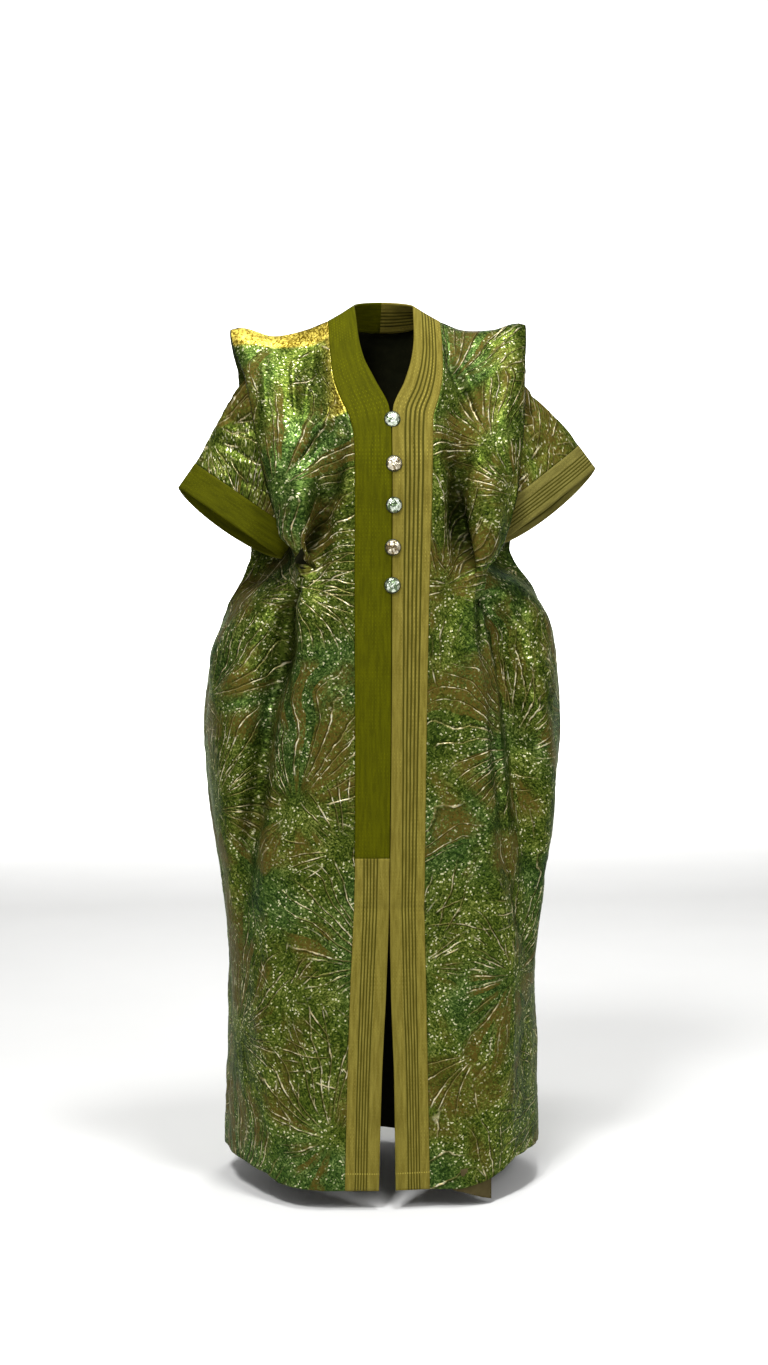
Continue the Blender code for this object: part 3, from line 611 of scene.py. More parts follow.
def brocade_finish(name):
    """Jacquard with palm sprays of fine raised threads on a speckled metallic ground.

    A spray's rays spread from a scattered point, and bend with a slow noise. The distance to
    a ray is the angle to it times the distance from that point, and each ray has its own
    lean, start and end. Short strokes of the ground run the same way as the rays.
    """
    finish = Finish(name, coat_roughness=0.25, specular=0.12, edge_tint=(0.22, 0.30, 0.08))
    place = finish.node("ShaderNodeUVMap", {"uv_map": "cloth"}, {})[0]
    fold = finish.node("ShaderNodeAttribute", {"attribute_name": "fold"}, {})[2]
    bend = finish.noise(place, 9.0, detail=1.0) - 0.5
    wobble = finish.noise(place, 48.0, detail=2.0) - 0.5
    broad = finish.noise(place, 7.0, detail=3.0)
    # glint: where the rays are painted cream, as painted glints of light on the thread
    glint = finish.noise(place, 34.0, detail=3.0, roughness=0.65).ramp(0.46, 0.62)

    def spray(scale, shift, step, seed):
        """The rays, the painted shadow lines beside them, the brown leaves and the strokes of one scatter of
        sprays.
        """
        offset = (shift, shift * 0.7, 0)
        moved = finish.node("ShaderNodeVectorMath", {"operation": "ADD"}, {0: place, 1: offset})[0]
        cell = {"Vector": moved, "Scale": scale, "Randomness": 0.9}
        centre = finish.node("ShaderNodeTexVoronoi", {"voronoi_dimensions": "2D"}, cell)
        border = {"voronoi_dimensions": "2D", "feature": "DISTANCE_TO_EDGE"}
        inside = finish.node("ShaderNodeTexVoronoi", border, cell)[0].ramp(0.0, 0.10)
        pick, lean, _ = finish.node("ShaderNodeSeparateColor", {}, {0: centre[1]})
        away = finish.node("ShaderNodeVectorMath", {"operation": "SUBTRACT"}, {0: moved, 1: centre[2]})[0]
        x, y, _ = finish.node("ShaderNodeSeparateXYZ", {}, {0: away})
        y = y + 0.24 / scale
        reach = (x * x + y * y).math("SQRT")
        turn = x.math("ARCTAN2", y) + (lean - 0.5) * (1.2 + reach * 4) + bend * reach * 3.4
        count = (turn + wobble * (0.01 + 0.007 / (reach + 0.05))) / step
        ray = count.math("FLOOR")
        draw = {"W": ray + pick * 50 + seed}
        chance = finish.node("ShaderNodeTexWhiteNoise", {"noise_dimensions": "1D"}, draw)
        own, start, _ = finish.node("ShaderNodeSeparateColor", {}, {0: chance[1]})
        off = (count - ray - 0.5 - (own - 0.5) * 0.6) * reach * step
        length = reach.ramp(0.010 + 0.07 * start, 0.03 + 0.07 * start) * reach.ramp(0.29, 0.19 - 0.09 * own)
        drawn = length * inside * abs(turn).ramp(2.9, 1.8) * own.ramp(0.04, 0.2)
        # Each ray is a thread line; the dark line beside it is painted shadow, and glint widens the line
        # where it is painted as catching light
        light = abs(off).ramp(0.0009 + 0.0007 * glint, 0.0002 + 0.0003 * glint) * drawn
        dark = abs(off - 0.0018).ramp(0.0022, 0.0005) * drawn
        leaf = (own * 0.20 + broad).ramp(0.58, 0.71) * inside * reach.ramp(0.01, 0.05)
        polar = finish.node("ShaderNodeCombineXYZ", {}, {0: turn * 52, 1: reach * 190, 2: pick * 9})[0]
        return light, dark, leaf, finish.noise(polar, 1.0, detail=1.5)

    light, dark, leaf, stroke = spray(3.6, 0.0, 0.14, 3.0)
    light_small, dark_small, leaf_small, _ = spray(5.6, 0.37, 0.22, 11.0)
    sparse = finish.noise(place, 5.0, detail=1.0).ramp(0.50, 0.44)
    light = light.math("MAXIMUM", light_small * sparse)
    dark = dark.math("MAXIMUM", dark_small * sparse)
    leaf = leaf.math("MAXIMUM", leaf_small * sparse * 0.7)
    knots = {"Vector": place, "Scale": 430.0}
    tiny = finish.node("ShaderNodeTexVoronoi", {"voronoi_dimensions": "2D"}, knots)
    fleck, hue_pick, _ = finish.node("ShaderNodeSeparateColor", {}, {0: tiny[1]})
    grain = finish.noise(place, 300.0, detail=2.0, roughness=0.6)
    patch = finish.noise(place, 22.0, detail=3.0)
    bright = fleck * 0.34 + stroke * 0.5 + grain * 0.3 + (patch - 0.5) * 0.45
    hue = finish.noise(place, 5.0, detail=2.0).ramp(0.46, 0.66)
    deep = finish.mix(hue, (0.015, 0.028, 0.0030), (0.012, 0.028, 0.0050))
    green = finish.mix(hue, (0.064, 0.093, 0.010), (0.046, 0.090, 0.016))
    pale = finish.mix(hue, (0.22, 0.25, 0.055), (0.18, 0.25, 0.072))
    ground = finish.mix(bright.ramp(0.36, 0.60), deep, green)
    ground = finish.mix(bright.ramp(0.60, 0.80), ground, pale)
    # Sparse pale flecks: painted glints of the metal thread
    ground = finish.mix(fleck.ramp(0.945, 0.955) * patch.ramp(0.40, 0.55), ground, (0.70, 0.68, 0.42))
    brown = finish.mix(grain * 0.5 + stroke * 0.5, (0.048, 0.034, 0.0045), (0.125, 0.090, 0.0160))
    colour = finish.mix(leaf * (0.92 - hue_pick.ramp(0.60, 0.72) * 0.6), ground, brown)
    # Painted shadow beside each ray, then the ray's thread colour, tan, turning to a painted cream glint
    # where glint is high
    colour = finish.mix(dark * 0.6, colour, (0.016, 0.014, 0.002))
    painted_glint_cream = finish.mix(hue_pick, (0.68, 0.55, 0.27), (0.80, 0.77, 0.56))
    colour = finish.mix(light * (0.6 + 0.35 * glint), colour, finish.mix(glint, (0.23, 0.185, 0.065), painted_glint_cream))
    # Painted light: gold where fold is below 0, painted yellow light on the right shoulder; near black where
    # fold is above 0, painted shade in the folds
    gold = finish.mix(bright.ramp(0.40, 0.75), (0.17, 0.11, 0.006), (0.90, 0.70, 0.12))
    colour = finish.mix(fold.ramp(0.0, -1.0) * 0.85, colour, gold)
    colour = finish.mix(fold.ramp(0.0, 1.0) * 0.86, colour, (0.005, 0.008, 0.001))
    crumple = abs(finish.noise(place, 46.0, detail=3.0, distortion=0.4) - 0.5)
    height = light * (0.2 + 0.5 * glint) - dark * 0.35
    height = height + (grain + stroke) * 0.2 * (1 - leaf * 0.6) - crumple * 1.2
    return finish.end(
        base_color=colour,
        metallic=0.62 - 0.35 * leaf,
        roughness=0.34 + 0.16 * leaf + 0.12 * grain,
        normal=finish.relief(height, 0.0018, 1.0),
    )


def plain_finish(name, dark, light):
    """The wrong side: a plain tabby, two sets of fine threads crossing."""
    finish = Finish(name, specular=0.03)
    place = finish.node("ShaderNodeUVMap", {"uv_map": "cloth"}, {})[0]
    x, y, _ = finish.node("ShaderNodeSeparateXYZ", {}, {0: place})
    weave = (x * 2600).math("SINE") * (y * 2600).math("SINE")
    tone = finish.noise(place, 60.0, detail=3.0)
    return finish.end(
        base_color=finish.mix(tone, dark, light),
        roughness=0.75 + 0.1 * tone,
        normal=finish.relief(weave * 0.5 + tone, 0.0004, 0.5),
    )


brocade = brocade_finish("brocade")
wrong_side = plain_finish("brocade_wrong_side", (0.004, 0.005, 0.002), (0.013, 0.013, 0.005))

# Creases as seen from the front: x and z of three places, half width and height, all in mm.
# The valley that runs from the neck down to the arm comes first, with the swells beside it.
FRONT_CREASES = {
    "right": (
        (72, -170, 96, -330, 168, -470, 13, -17),
        (62, -196, 74, -320, 118, -520, 12, 8),
        (98, -168, 132, -280, 200, -412, 20, 13),
        (100, -320, 126, -400, 172, -486, 6, -14),
        (150, -404, 158, -440, 176, -520, 9, -15),
        (166, -460, 164, -540, 190, -650, 12, -17),
        (64, -158, 125, -170, 182, -272, 8, 9),
        (70, -176, 118, -188, 170, -278, 8, -8),
        (120, -42, 127, -100, 142, -168, 12, -10),
        (156, -60, 157, -110, 152, -168, 5, 5),
        (112, -84, 124, -110, 134, -140, 5, 4),
        (205, -50, 202, -110, 206, -190, 6, 5),
        (222, -60, 214, -130, 213, -210, 9, -4),
        (196, -215, 186, -270, 188, -330, 9, 5),
        (214, -236, 198, -310, 176, -375, 8, -5),
        (150, -330, 158, -360, 150, -410, 8, -7),
        (272, -592, 250, -560, 226, -518, 11, -10),
        (282, -640, 262, -610, 246, -560, 9, 5),
        (182, -600, 226, -790, 246, -1010, 16, -12),
        (180, -700, 200, -850, 210, -1010, 18, 6),
        (152, -735, 148, -770, 143, -830, 10, -6),
        (92, -600, 110, -760, 98, -960, 16, 5),
        (128, -640, 150, -800, 138, -1000, 14, -5),
        (110, -1010, 135, -1150, 118, -1360, 22, 6),
        (165, -980, 176, -1180, 160, -1390, 18, -7),
        (215, -1040, 205, -1200, 215, -1380, 22, 6),
    ),
    "left": (
        (92, -34, 116, -96, 156, -190, 7, -12),
        (108, -30, 136, -96, 168, -180, 9, 7),
        (138, -184, 84, -320, 140, -466, 15, -23),
        (118, -262, 112, -370, 158, -472, 6, -15),
        (150, -430, 150, -520, 164, -600, 11, -13),
        (160, -600, 176, -740, 196, -920, 11, -11),
        (78, -170, 82, -300, 104, -440, 13, 7),
        (160, -256, 180, -330, 160, -412, 17, 9),
        (186, -205, 172, -250, 163, -200, 9, -5),
        (212, -80, 196, -150, 190, -215, 8, 6),
        (188, -70, 172, -130, 166, -180, 7, 5),
        (222, -215, 212, -290, 190, -352, 8, -5),
        (130, -430, 150, -470, 175, -492, 9, -8),
        (214, -475, 234, -500, 250, -520, 10, -9),
        (232, -560, 262, -590, 292, -596, 10, 6),
        (228, -600, 258, -640, 290, -660, 10, -6),
        (190, -860, 206, -960, 236, -1080, 10, -10),
        (132, -720, 158, -900, 206, -1070, 14, 7),
        (90, -600, 112, -760, 98, -940, 16, 5),
        (222, -720, 226, -850, 238, -960, 14, 5),
        (110, -960, 138, -1120, 122, -1350, 22, -6),
        (168, -1090, 190, -1200, 178, -1390, 20, 7),
        (236, -1110, 222, -1230, 228, -1390, 18, -6),
    ),
}
BACK_CREASES = {
    "right": (
        (205, -40, 150, -140, 118, -330, 15, -15),
        (232, -60, 190, -170, 168, -330, 14, 10),
        (100, -120, 92, -260, 104, -420, 16, 9),
        (60, -180, 66, -330, 48, -520, 16, -9),
        (150, -330, 178, -400, 226, -440, 10, -12),
        (280, -540, 250, -570, 214, -560, 10, -10),
        (190, -560, 176, -760, 190, -1000, 17, 10),
        (226, -700, 236, -880, 222, -1080, 15, -12),
        (120, -640, 108, -850, 122, -1080, 18, -10),
        (50, -700, 70, -900, 52, -1160, 18, 9),
        (160, -1060, 148, -1200, 164, -1390, 18, -10),
        (96, -1120, 104, -1250, 94, -1395, 20, 9),
    ),
    "left": (
        (200, -50, 158, -150, 128, -310, 14, -14),
        (226, -50, 196, -180, 160, -350, 14, 10),
        (88, -110, 104, -250, 92, -440, 16, 9),
        (54, -200, 44, -350, 62, -540, 16, -8),
        (156, -340, 186, -390, 232, -446, 10, -12),
        (276, -560, 244, -570, 206, -590, 10, -10),
        (196, -600, 184, -790, 176, -1020, 17, 10),
        (236, -680, 222, -880, 230, -1060, 15, -10),
        (112, -620, 126, -850, 110, -1060, 18, -10),
        (58, -660, 44, -900, 60, -1180, 18, 9),
        (150, -1080, 166, -1220, 152, -1390, 18, -10),
        (104, -1100, 92, -1260, 106, -1395, 20, 9),
    ),
}

# How far the right wing's front edge is drawn in towards the centre, at depths below the neck
WING_DEPTHS = (0, 60, 120, 180, 240, 300, 388, 410, 445)
WING_DRAWN_IN = (0, 3, 6, 9, 13, 19, 24, 18, 0)

# How far the left front's hem is lifted, at places out from the centre
HEM_LIFTED_X = (112, 150, 187, 230, 275)
HEM_LIFTED = (0, 5, 13, 9, 0)
HEM_LIFT_FADE = 40

# The wings end at this depth; their tips are lifted to sharp corners, and this fades below them
WING_FOOT = 430
TIP_LIFT = 5.5
TIP_LIFT_FADE = 14

# Each front and each sleeve is cut from its own place on the patterned cloth, in metres
FRONT_CUT_AT = {"left": 0.35, "right": 1.71}
BACK_CUT_AT = 3.1
SLEEVE_CUT_AT = {"left": 0.9, "right": 2.4}

depths = row_depths()
foot = int(np.argmin(np.abs(depths - ARMHOLE_FOOT)))
splice = int(np.argmin(np.abs(depths - SPLICE_HEIGHT)))
halves = {}
for side_name, side in SIDES.items():
    half = half_body(side, depths)
    column = np.arange(half.shape[1])
    if side_name == "right":
        drawn_in = np.interp(depths, WING_DEPTHS, WING_DRAWN_IN)[:, None]
        half[..., 0] -= drawn_in * np.interp(column, (EDGE_FRONT - 26, EDGE_FRONT, ARM_FRONT), (0, 1, 0))
    if side_name == "left":
        lifted = np.interp(half[-1, :, 0], HEM_LIFTED_X, HEM_LIFTED) * (column <= SIDE)
        half[..., 2] += lifted * np.exp((depths - HEM_HEIGHT) / HEM_LIFT_FADE)[:, None]
    # The wing's tip is a sharp corner: its folded edge is lifted level with the ridge
    tip = np.interp(column, (EDGE_FRONT - 5, EDGE_FRONT, EDGE_FRONT + 3), (0, 1, 0))
    tip += np.interp(column, (EDGE_BACK - 3, EDGE_BACK, EDGE_BACK + 5), (0, 1, 0))
    half[..., 2] += TIP_LIFT * np.minimum(tip, 1) * np.exp(-depths / TIP_LIFT_FADE)[:, None]
    x, z = half[..., 0], half[..., 2]
    across = spread(half, 1)
    down = np.broadcast_to(depths[:, None], across.shape)
    seed = 3 if side_name == "left" else 8
    seam_hold = smoothstep(across / 14)
    upper = depths < WING_FOOT
    ease = smoothstep((depths - WING_FOOT) / 40)[:, None]
    front_hold = np.maximum((column <= EDGE_FRONT) * upper[:, None], (column <= SIDE) * ease)
    back_hold = np.maximum((column >= EDGE_BACK) * upper[:, None], (column >= SIDE) * ease)
    back_hold = back_hold * smoothstep(spread(half[:, ::-1], 1)[:, ::-1] / 30)
    start = smoothstep(depths / 40)[:, None] * seam_hold
    push = creased(x, z, FRONT_CREASES[side_name]) * front_hold * start
    push += creased(x, z, BACK_CREASES[side_name]) * back_hold * start
    loose = seam_hold * smoothstep(depths / 30)[:, None]
    shoulder = smoothstep(1 - depths / 90)[:, None] * smoothstep((column - EDGE_FRONT + 20) / 16)
    loose = loose * (1 - 0.8 * shoulder)
    slant, fall = across + 0.3 * down, down * 0.5 - 0.2 * across
    push += loose * 2.2 * waves(slant, fall, 46, seed)
    push += loose * 1.8 * (0.4 - np.abs(waves(slant, fall * 1.3, 24, seed + 1)))
    push += loose * 0.9 * (0.4 - np.abs(waves(across - 0.5 * down, fall * 1.6, 11, seed + 2)))
    shaped = half + normals(half) * push[..., None]
    # Painted shade: the deeper the creases push the cloth in, the darker its colour is painted
    painted_shade_and_gold_light = np.clip(-push / 20 - 0.15, 0, 1)
    # The folded edge of the wing and what is turned under it get painted shade: their colour is darkened
    # where they lie in shadow
    under = smoothstep((column - EDGE_FRONT + 3) / 3) * (column <= EDGE_BACK)
    under = under * smoothstep((WING_FOOT - depths) / 60)[:, None]
    painted_shade_and_gold_light = np.maximum(painted_shade_and_gold_light, 0.8 * under)
    # Painted gold light on the right shoulder: a yellow tint along the ridge and down beside the band, as if
    # a yellow lamp lit its top
    ridge = smoothstep((33 - depths) / 8)[:, None] * (x > 58)
    beside = smoothstep((122 - x) / 50) * smoothstep((z + 155 + 0.65 * (x - 58)) / 12)
    painted_gold_light = np.maximum(ridge, 0.7 * beside) * (column < EDGE_FRONT)
    painted_shade_and_gold_light = np.where(painted_gold_light > 0.02, -painted_gold_light, painted_shade_and_gold_light) if side_name == "right" else painted_shade_and_gold_light
    halves[side_name] = (half, shaped, normals(shaped), across, painted_shade_and_gold_light)


def front_piece(side_name):
    side = SIDES[side_name]
    half, shaped, away, across, painted_shade_and_gold_light = halves[side_name]
    outer = shaped[:, : SIDE + 1] + away[:, : SIDE + 1] * CLOTH / 2
    inner = shaped[:, : SIDE + 1] - away[:, : SIDE + 1] * CLOTH / 2
    outer[0, :, 1] = inner[0, :, 1] = half[0, : SIDE + 1, 1] - 0.15
    cells = np.ones((len(depths) - 1, SIDE), bool)
    cells[:foot, ARM_FRONT:] = False
    place = np.stack([across[:, : SIDE + 1] + 62, np.broadcast_to(-depths[:, None], outer.shape[:2])], axis=2)
    return sheet_mesh(
        f"front_{side_name}_brocade", outer, inner, place / 1000 + FRONT_CUT_AT[side_name], cells,
        (brocade, wrong_side), side["sign"], fold=painted_shade_and_gold_light[:, : SIDE + 1],
    )


for side_name in ("right", "left"):
    front = front_piece(side_name)
    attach(front, "root")
    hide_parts(f"front_{side_name}")

# The back in one piece: both halves meet at the centre, and its nape edge is sewn to the band.
back_faces = []
for lift in (0.5, -0.5):
    flanks = []
    for side_name in ("left", "right"):
        half, shaped, away, across, painted_shade_and_gold_light = halves[side_name]
        face = (shaped + away * CLOTH * lift)[:, SIDE:].copy()
        face[0, : NECK - SIDE + 1, 1] = half[0, SIDE : NECK + 1, 1] + 0.15
        face[:, -1, 0] = 0
        flanks.append(face * (SIDES[side_name]["sign"], 1, 1))
    middle = (flanks[0][:, -1:] + flanks[1][:, -1:]) / 2
    back_faces.append(np.concatenate([flanks[0][:, :-1], middle, flanks[1][:, -2::-1]], axis=1))
# Painted shade in the back's folds, carried by the fold attribute
back_painted_shade = np.concatenate([halves["left"][4][:, SIDE:], halves["right"][4][:, SIDE:-1][:, ::-1]], axis=1)
cells = np.ones((len(depths) - 1, back_faces[0].shape[1] - 1), bool)
cells[:foot, : ARM_BACK - SIDE] = False
cells[:foot, SIDE - ARM_BACK :] = False
back_across = spread(back_faces[0], 1)
back_across = back_across - back_across[:, back_across.shape[1] // 2][:, None]
place = np.stack([back_across, np.broadcast_to(-depths[:, None], back_across.shape)], axis=2)
place = place / 1000 + BACK_CUT_AT
back = sheet_mesh("back_brocade", *back_faces, place, cells, (brocade, wrong_side), fold=back_painted_shade)
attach(back, "root")
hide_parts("back")


# The sleeves: short wide tubes in the same brocade, set into the armholes under the wings.
# Each ends in a straight band of doubled cloth, olive on the right and striped on the left.

BAND_CLOTH = 3.0
SEAM = 0.3
CUFF_WIDTH = 49
CUFF_FRONT = 34
CUFF_BACK = 62
LENS = 1.25
SLEEVE_HEAD_DROP = 5
SLEEVE_STEPS = 60
CUFF_STEPS = 12


def sleeve_rings(side, grid, facing, foot):
    """The armhole ring and the two rings of the cuff, each from the top round by the back."""
    backward, forward = ARM_BACK, ARM_FRONT
    picked = [(i, backward) for i in range(1, foot + 1)]
    picked += [(foot, j) for j in range(backward - 1, forward, -1)]
    picked += [(i, forward) for i in range(foot, 0, -1)]
    rows, columns = np.array(picked).T
    edge, away = grid[rows, columns], facing[rows, columns]
    top = (grid[0, forward] + grid[0, backward]) / 2 - (0, 0, SLEEVE_HEAD_DROP)

    out, fold = np.array(side["cuff_out"], float), np.array(side["cuff_in"], float)
    slant = fold - out
    axis = unit(np.array([-slant[2], 0, slant[0]]))
    turned = foot + (backward - LOBE)
    share = np.concatenate(
        [np.linspace(0, 1, turned + 1), np.linspace(1, 0, len(picked) - turned + 2)[1:-1]]
    )
    behind = np.arange(len(share)) < turned
    bow = np.sin(math.pi * share) ** LENS
    lower = out + slant * ((1 - np.cos(math.pi * share)) / 2)[:, None]
    lower[:, 1] += np.where(behind, CUFF_BACK, -CUFF_FRONT) * bow
    lower += axis * (np.where(behind, side["back_drop"], 0) * bow)[:, None]
    upper = lower - CUFF_WIDTH * axis

    outward = np.array(side["sleeve_leave"])
    ring = np.concatenate([top[None], edge])
    for turn in range(3):
        course = sleeve_course(ring, upper, axis, outward)
        own = normals(course, closed=True)[0, 1:]
        lap = SEAM + CLOTH / 2 + CLOTH / 2 * np.abs((own * away).sum(axis=1, keepdims=True))
        ring[1:] = edge + away * lap
    return sleeve_course(ring, upper, axis, outward), upper, lower


def sleeve_course(ring, upper, axis, outward):
    """The sleeve's grid: each thread leaves the armhole outwards and meets the cuff squarely."""
    chord = upper - ring
    length = np.linalg.norm(chord, axis=1, keepdims=True)
    leave = 0.5 * chord + 0.5 * length * outward
    arrive = 0.5 * chord + 0.5 * length * axis
    share = np.linspace(0, 1, SLEEVE_STEPS + 1)
    return np.stack([hermite(ring, upper, leave, arrive, s) for s in share])


def band_finish(name, dark, light, stripes=None, hemmed=True):
    """A band with fine lengthwise lines of stitching, and five dark stripes where it has them.

    The UV map holds the distance from the band's outer edge and the height above its hem, in
    metres. stripes is the distance of their middle from that edge and their pitch at the chest.
    """
    finish = Finish(name, specular=0.04)
    place = finish.node("ShaderNodeUVMap", {"uv_map": "cloth"}, {})[0]
    x, y, _ = finish.node("ShaderNodeSeparateXYZ", {}, {0: place})
    stretched = finish.node("ShaderNodeCombineXYZ", {}, {0: x * 9, 1: y})[0]
    tone = finish.noise(stretched, 22.0, detail=4.0)
    fibre = finish.noise(place, 420.0, detail=2.0)
    sway = (finish.noise(place, 12.0) - 0.5) * 0.0012
    lines = abs(((x + sway) * 190).math("FRACT") - 0.5).ramp(0.12, 0.04)
    dash = (y * 900).math("SINE").ramp(-0.2, 0.4)
    worn = finish.noise(place, 17.0, detail=2.0).ramp(0.42, 0.62)
    pale = tuple(min(1, part * 1.9) for part in light)
    colour = finish.mix(tone.ramp(0.3, 0.7), dark, light)
    colour = finish.mix(fibre.ramp(0.5, 0.8) * 0.25, colour, pale)
    # The stitching is painted paler towards the neck, painted light on the band's top
    colour = finish.mix(lines * dash * worn * (0.40 + 0.4 * y.ramp(0.9, 1.2)), colour, pale)
    height = lines * -0.5 + fibre * 0.4
    if stripes:
        middle, pitch = stripes
        pitch = pitch - 0.0017 * y.ramp(0.95, 0.1) if hemmed else pitch
        near = (x - middle + sway) / pitch + 2.5
        step = near - near.math("FLOOR") - 0.5
        mark = abs(step).ramp(0.28, 0.17) * abs(near - 2.5).ramp(2.52, 2.48)
        colour = finish.mix(mark * 0.94, colour, (0.046, 0.042, 0.004))
        colour = finish.mix(x.ramp(0.038, 0.056) * 0.3, colour, dark)
        height = height - mark * 0.6
    if hemmed:
        seam = abs(y - 0.027).ramp(0.0016, 0.0006)
        colour = finish.mix(seam * (x * 1500).math("SINE").ramp(-0.3, 0.2) * 0.7, colour, pale)
        height = height - seam * 0.8
    return finish.end(
        base_color=colour,
        roughness=0.66 + 0.15 * fibre,
        normal=finish.relief(height, 0.0006, 0.7),
    )


olive = band_finish("olive_band", (0.051, 0.053, 0.0002), (0.073, 0.075, 0.0003))
olive_cuff = band_finish("olive_cuff", (0.045, 0.048, 0.0006), (0.070, 0.073, 0.0010), hemmed=False)
khaki_dark, khaki_light = (0.135, 0.110, 0.016), (0.212, 0.176, 0.031)
striped = band_finish("striped_band", khaki_dark, khaki_light, (0.0275, 0.0066))
striped_cuff = band_finish(
    "striped_cuff", (0.105, 0.092, 0.020), (0.165, 0.147, 0.035), (0.0275, 0.0052), hemmed=False
)

# Creases of the sleeves' fronts, as for the body
SLEEVE_CREASES = {
    "right": (
        (228, -168, 252, -172, 276, -160, 6, -5),
        (214, -240, 244, -222, 284, -206, 7, -6),
        (192, -296, 216, -284, 250, -262, 7, -6),
        (224, -205, 256, -196, 288, -186, 8, 4),
    ),
    "left": (
        (232, -120, 246, -150, 262, -172, 6, -5),
        (236, -190, 258, -200, 290, -196, 8, 4),
        (226, -236, 252, -236, 284, -214, 7, -5),
        (214, -270, 232, -280, 250, -272, 7, -4),
    ),
}

for side_name, side in SIDES.items():
    half, shaped, away, across, painted_shade_and_gold_light = halves[side_name]
    course, upper, lower = sleeve_rings(side, shaped, away, foot)
    steps = np.linspace(0, 1, CUFF_STEPS + 1)[:, None, None]
    cuff_course = upper + (lower - upper) * steps
    whole = normals(np.concatenate([course, cuff_course[1:]]), closed=True)
    ring_across = spread(np.concatenate([course, course[:, :1]], axis=1), 1)
    ring_down = spread(course, 0)
    ring_down = np.concatenate([ring_down, ring_down[:, :1]], axis=1)
    seed = 21 if side_name == "left" else 30
    ease = smoothstep(ring_down / 25) * smoothstep((ring_down[-1:] - ring_down) / 20)
    push = ease * 2.5 * waves(ring_across, ring_down, 40, seed)
    push += ease * 1.6 * (0.4 - np.abs(waves(ring_across * 0.6, ring_down, 15, seed + 1)))
    push = push[:, :-1] + creased(course[..., 0], course[..., 2], SLEEVE_CREASES[side_name]) * ease[:, :-1]
    course = course + whole[: SLEEVE_STEPS + 1] * push[..., None]
    away_sleeve = normals(course, closed=True)
    place = np.stack([np.broadcast_to(ring_across[-1:], ring_across.shape), -ring_down], axis=2)
    place = place / 1000 + SLEEVE_CUT_AT[side_name]
    cells = np.ones((SLEEVE_STEPS, course.shape[1]), bool)
    # Painted shade on the sleeve: darker colour in its creases and beside the armhole under the wing
    sleeve = sheet_mesh(
        f"sleeve_{side_name}_brocade", course + away_sleeve * CLOTH / 2, course - away_sleeve * CLOTH / 2,
        place, cells, (brocade, wrong_side), side["sign"], closed=True,
        fold=np.maximum(np.clip(-push / 10 - 0.1, 0, 1), 0.9 * smoothstep(1 - ring_down[:, :-1] / 45)),
    )
    away_cuff = whole[SLEEVE_STEPS:]
    cuff_across = spread(np.concatenate([cuff_course, cuff_course[:, :1]], axis=1), 1)
    cuff_down = np.broadcast_to(CUFF_WIDTH * steps[:, :, 0], cuff_across.shape)
    place = np.stack([cuff_down, cuff_across], axis=2) / 1000
    cells = np.ones((CUFF_STEPS, cuff_course.shape[1]), bool)
    band_cloth = olive_cuff if side_name == "right" else striped_cuff
    cuff = sheet_mesh(
        f"cuff_{side_name}_band",
        cuff_course + away_cuff * BAND_CLOTH / 2, cuff_course - away_cuff * BAND_CLOTH / 2,
        place, cells, (band_cloth, band_cloth), side["sign"], closed=True,
    )
    cuff_slot = "olive_band" if side_name == "right" else "striped_band"
    for piece, node, slot in ((sleeve, "sleeve", "brocade"), (cuff, "cuff", cuff_slot)):
        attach(piece, "root")
        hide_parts(f"{node}_{side_name}")


# The front bands: doubled cloth from the centre back, round the V neck and down each front.
# The right one is olive and pieced with a striped length below; the left one is all striped.

BAND_STEPS = 16
BAND_WIDTH = 60
SLIT_HEAD = 968


def band_grid(side, depths, neckline):
    """The band as a grid from the centre back round the neck point and down to the hem."""
    outer, inner = band_edges(side, depths)
    turn = np.linspace(math.pi / 2, 0, len(neckline))[:-1]
    start, rise = inner[0], NECK_BACK_RISE - inner[0, 2]
    back = np.stack(
        [
            start[0] * np.cos(turn),
            start[1] + (NECK_BACK_Y - start[1]) * np.sin(turn),
            start[2] + rise * np.sin(turn),
        ],
        axis=1,
    )
    outer = np.concatenate([neckline[::-1][:-1], outer])
    inner = np.concatenate([back, inner])
    share = np.linspace(0, 1, BAND_STEPS + 1)[:, None]
    return inner[:, None] + (outer - inner)[:, None] * share


for side_name, side in SIDES.items():
    half, shaped, away, across, painted_shade_and_gold_light = halves[side_name]
    band = band_grid(side, depths, half[0, NECK:])
    turned = len(band) - len(depths)
    band_away = normals(band)
    band_away[turned + 3 :, -1] = unit(band_away[turned + 3 :, -1] + away[3:, 0])
    along = spread(band, 0)[:, -1:] + np.zeros(band.shape[:2])
    wide = spread(band[:, ::-1], 1)[:, ::-1]
    wide = wide / wide[:, :1] * BAND_WIDTH
    push = 0.5 * waves(wide, along, 30, 41) * smoothstep(wide / 10)
    # A shallow groove crosses both bands where the slit begins
    push -= 2.0 * np.exp(-(((band[..., 2] + SLIT_HEAD) / 9) ** 2))
    band = band + band_away * push[..., None]
    outer, inner = band + band_away * BAND_CLOTH / 2, band - band_away * BAND_CLOTH / 2
    place = np.stack([wide, along[-1:] - along], axis=2) / 1000
    lengths = [("band_left", 0, len(band), striped, "striped_band")]
    if side_name == "right":
        cut = splice + turned
        lengths = [
            ("band_right_upper", 0, cut + 1, olive, "olive_band"),
            ("band_right_lower", cut, len(band), striped, "striped_band"),
        ]
    for node, first, last, cloth, slot in lengths:
        cells = np.ones((last - first - 1, BAND_STEPS), bool)
        strip = sheet_mesh(
            f"{node}_cloth", outer[first:last], inner[first:last], place[first:last], cells,
            (cloth, cloth), side["sign"],
        )
        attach(strip, "root")
        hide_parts(node)


# The hem corner: the end of a plain khaki allowance that has dropped out under the left hem.
# It is one layer of dark cloth, sewn inside the hem and hanging as a small point.

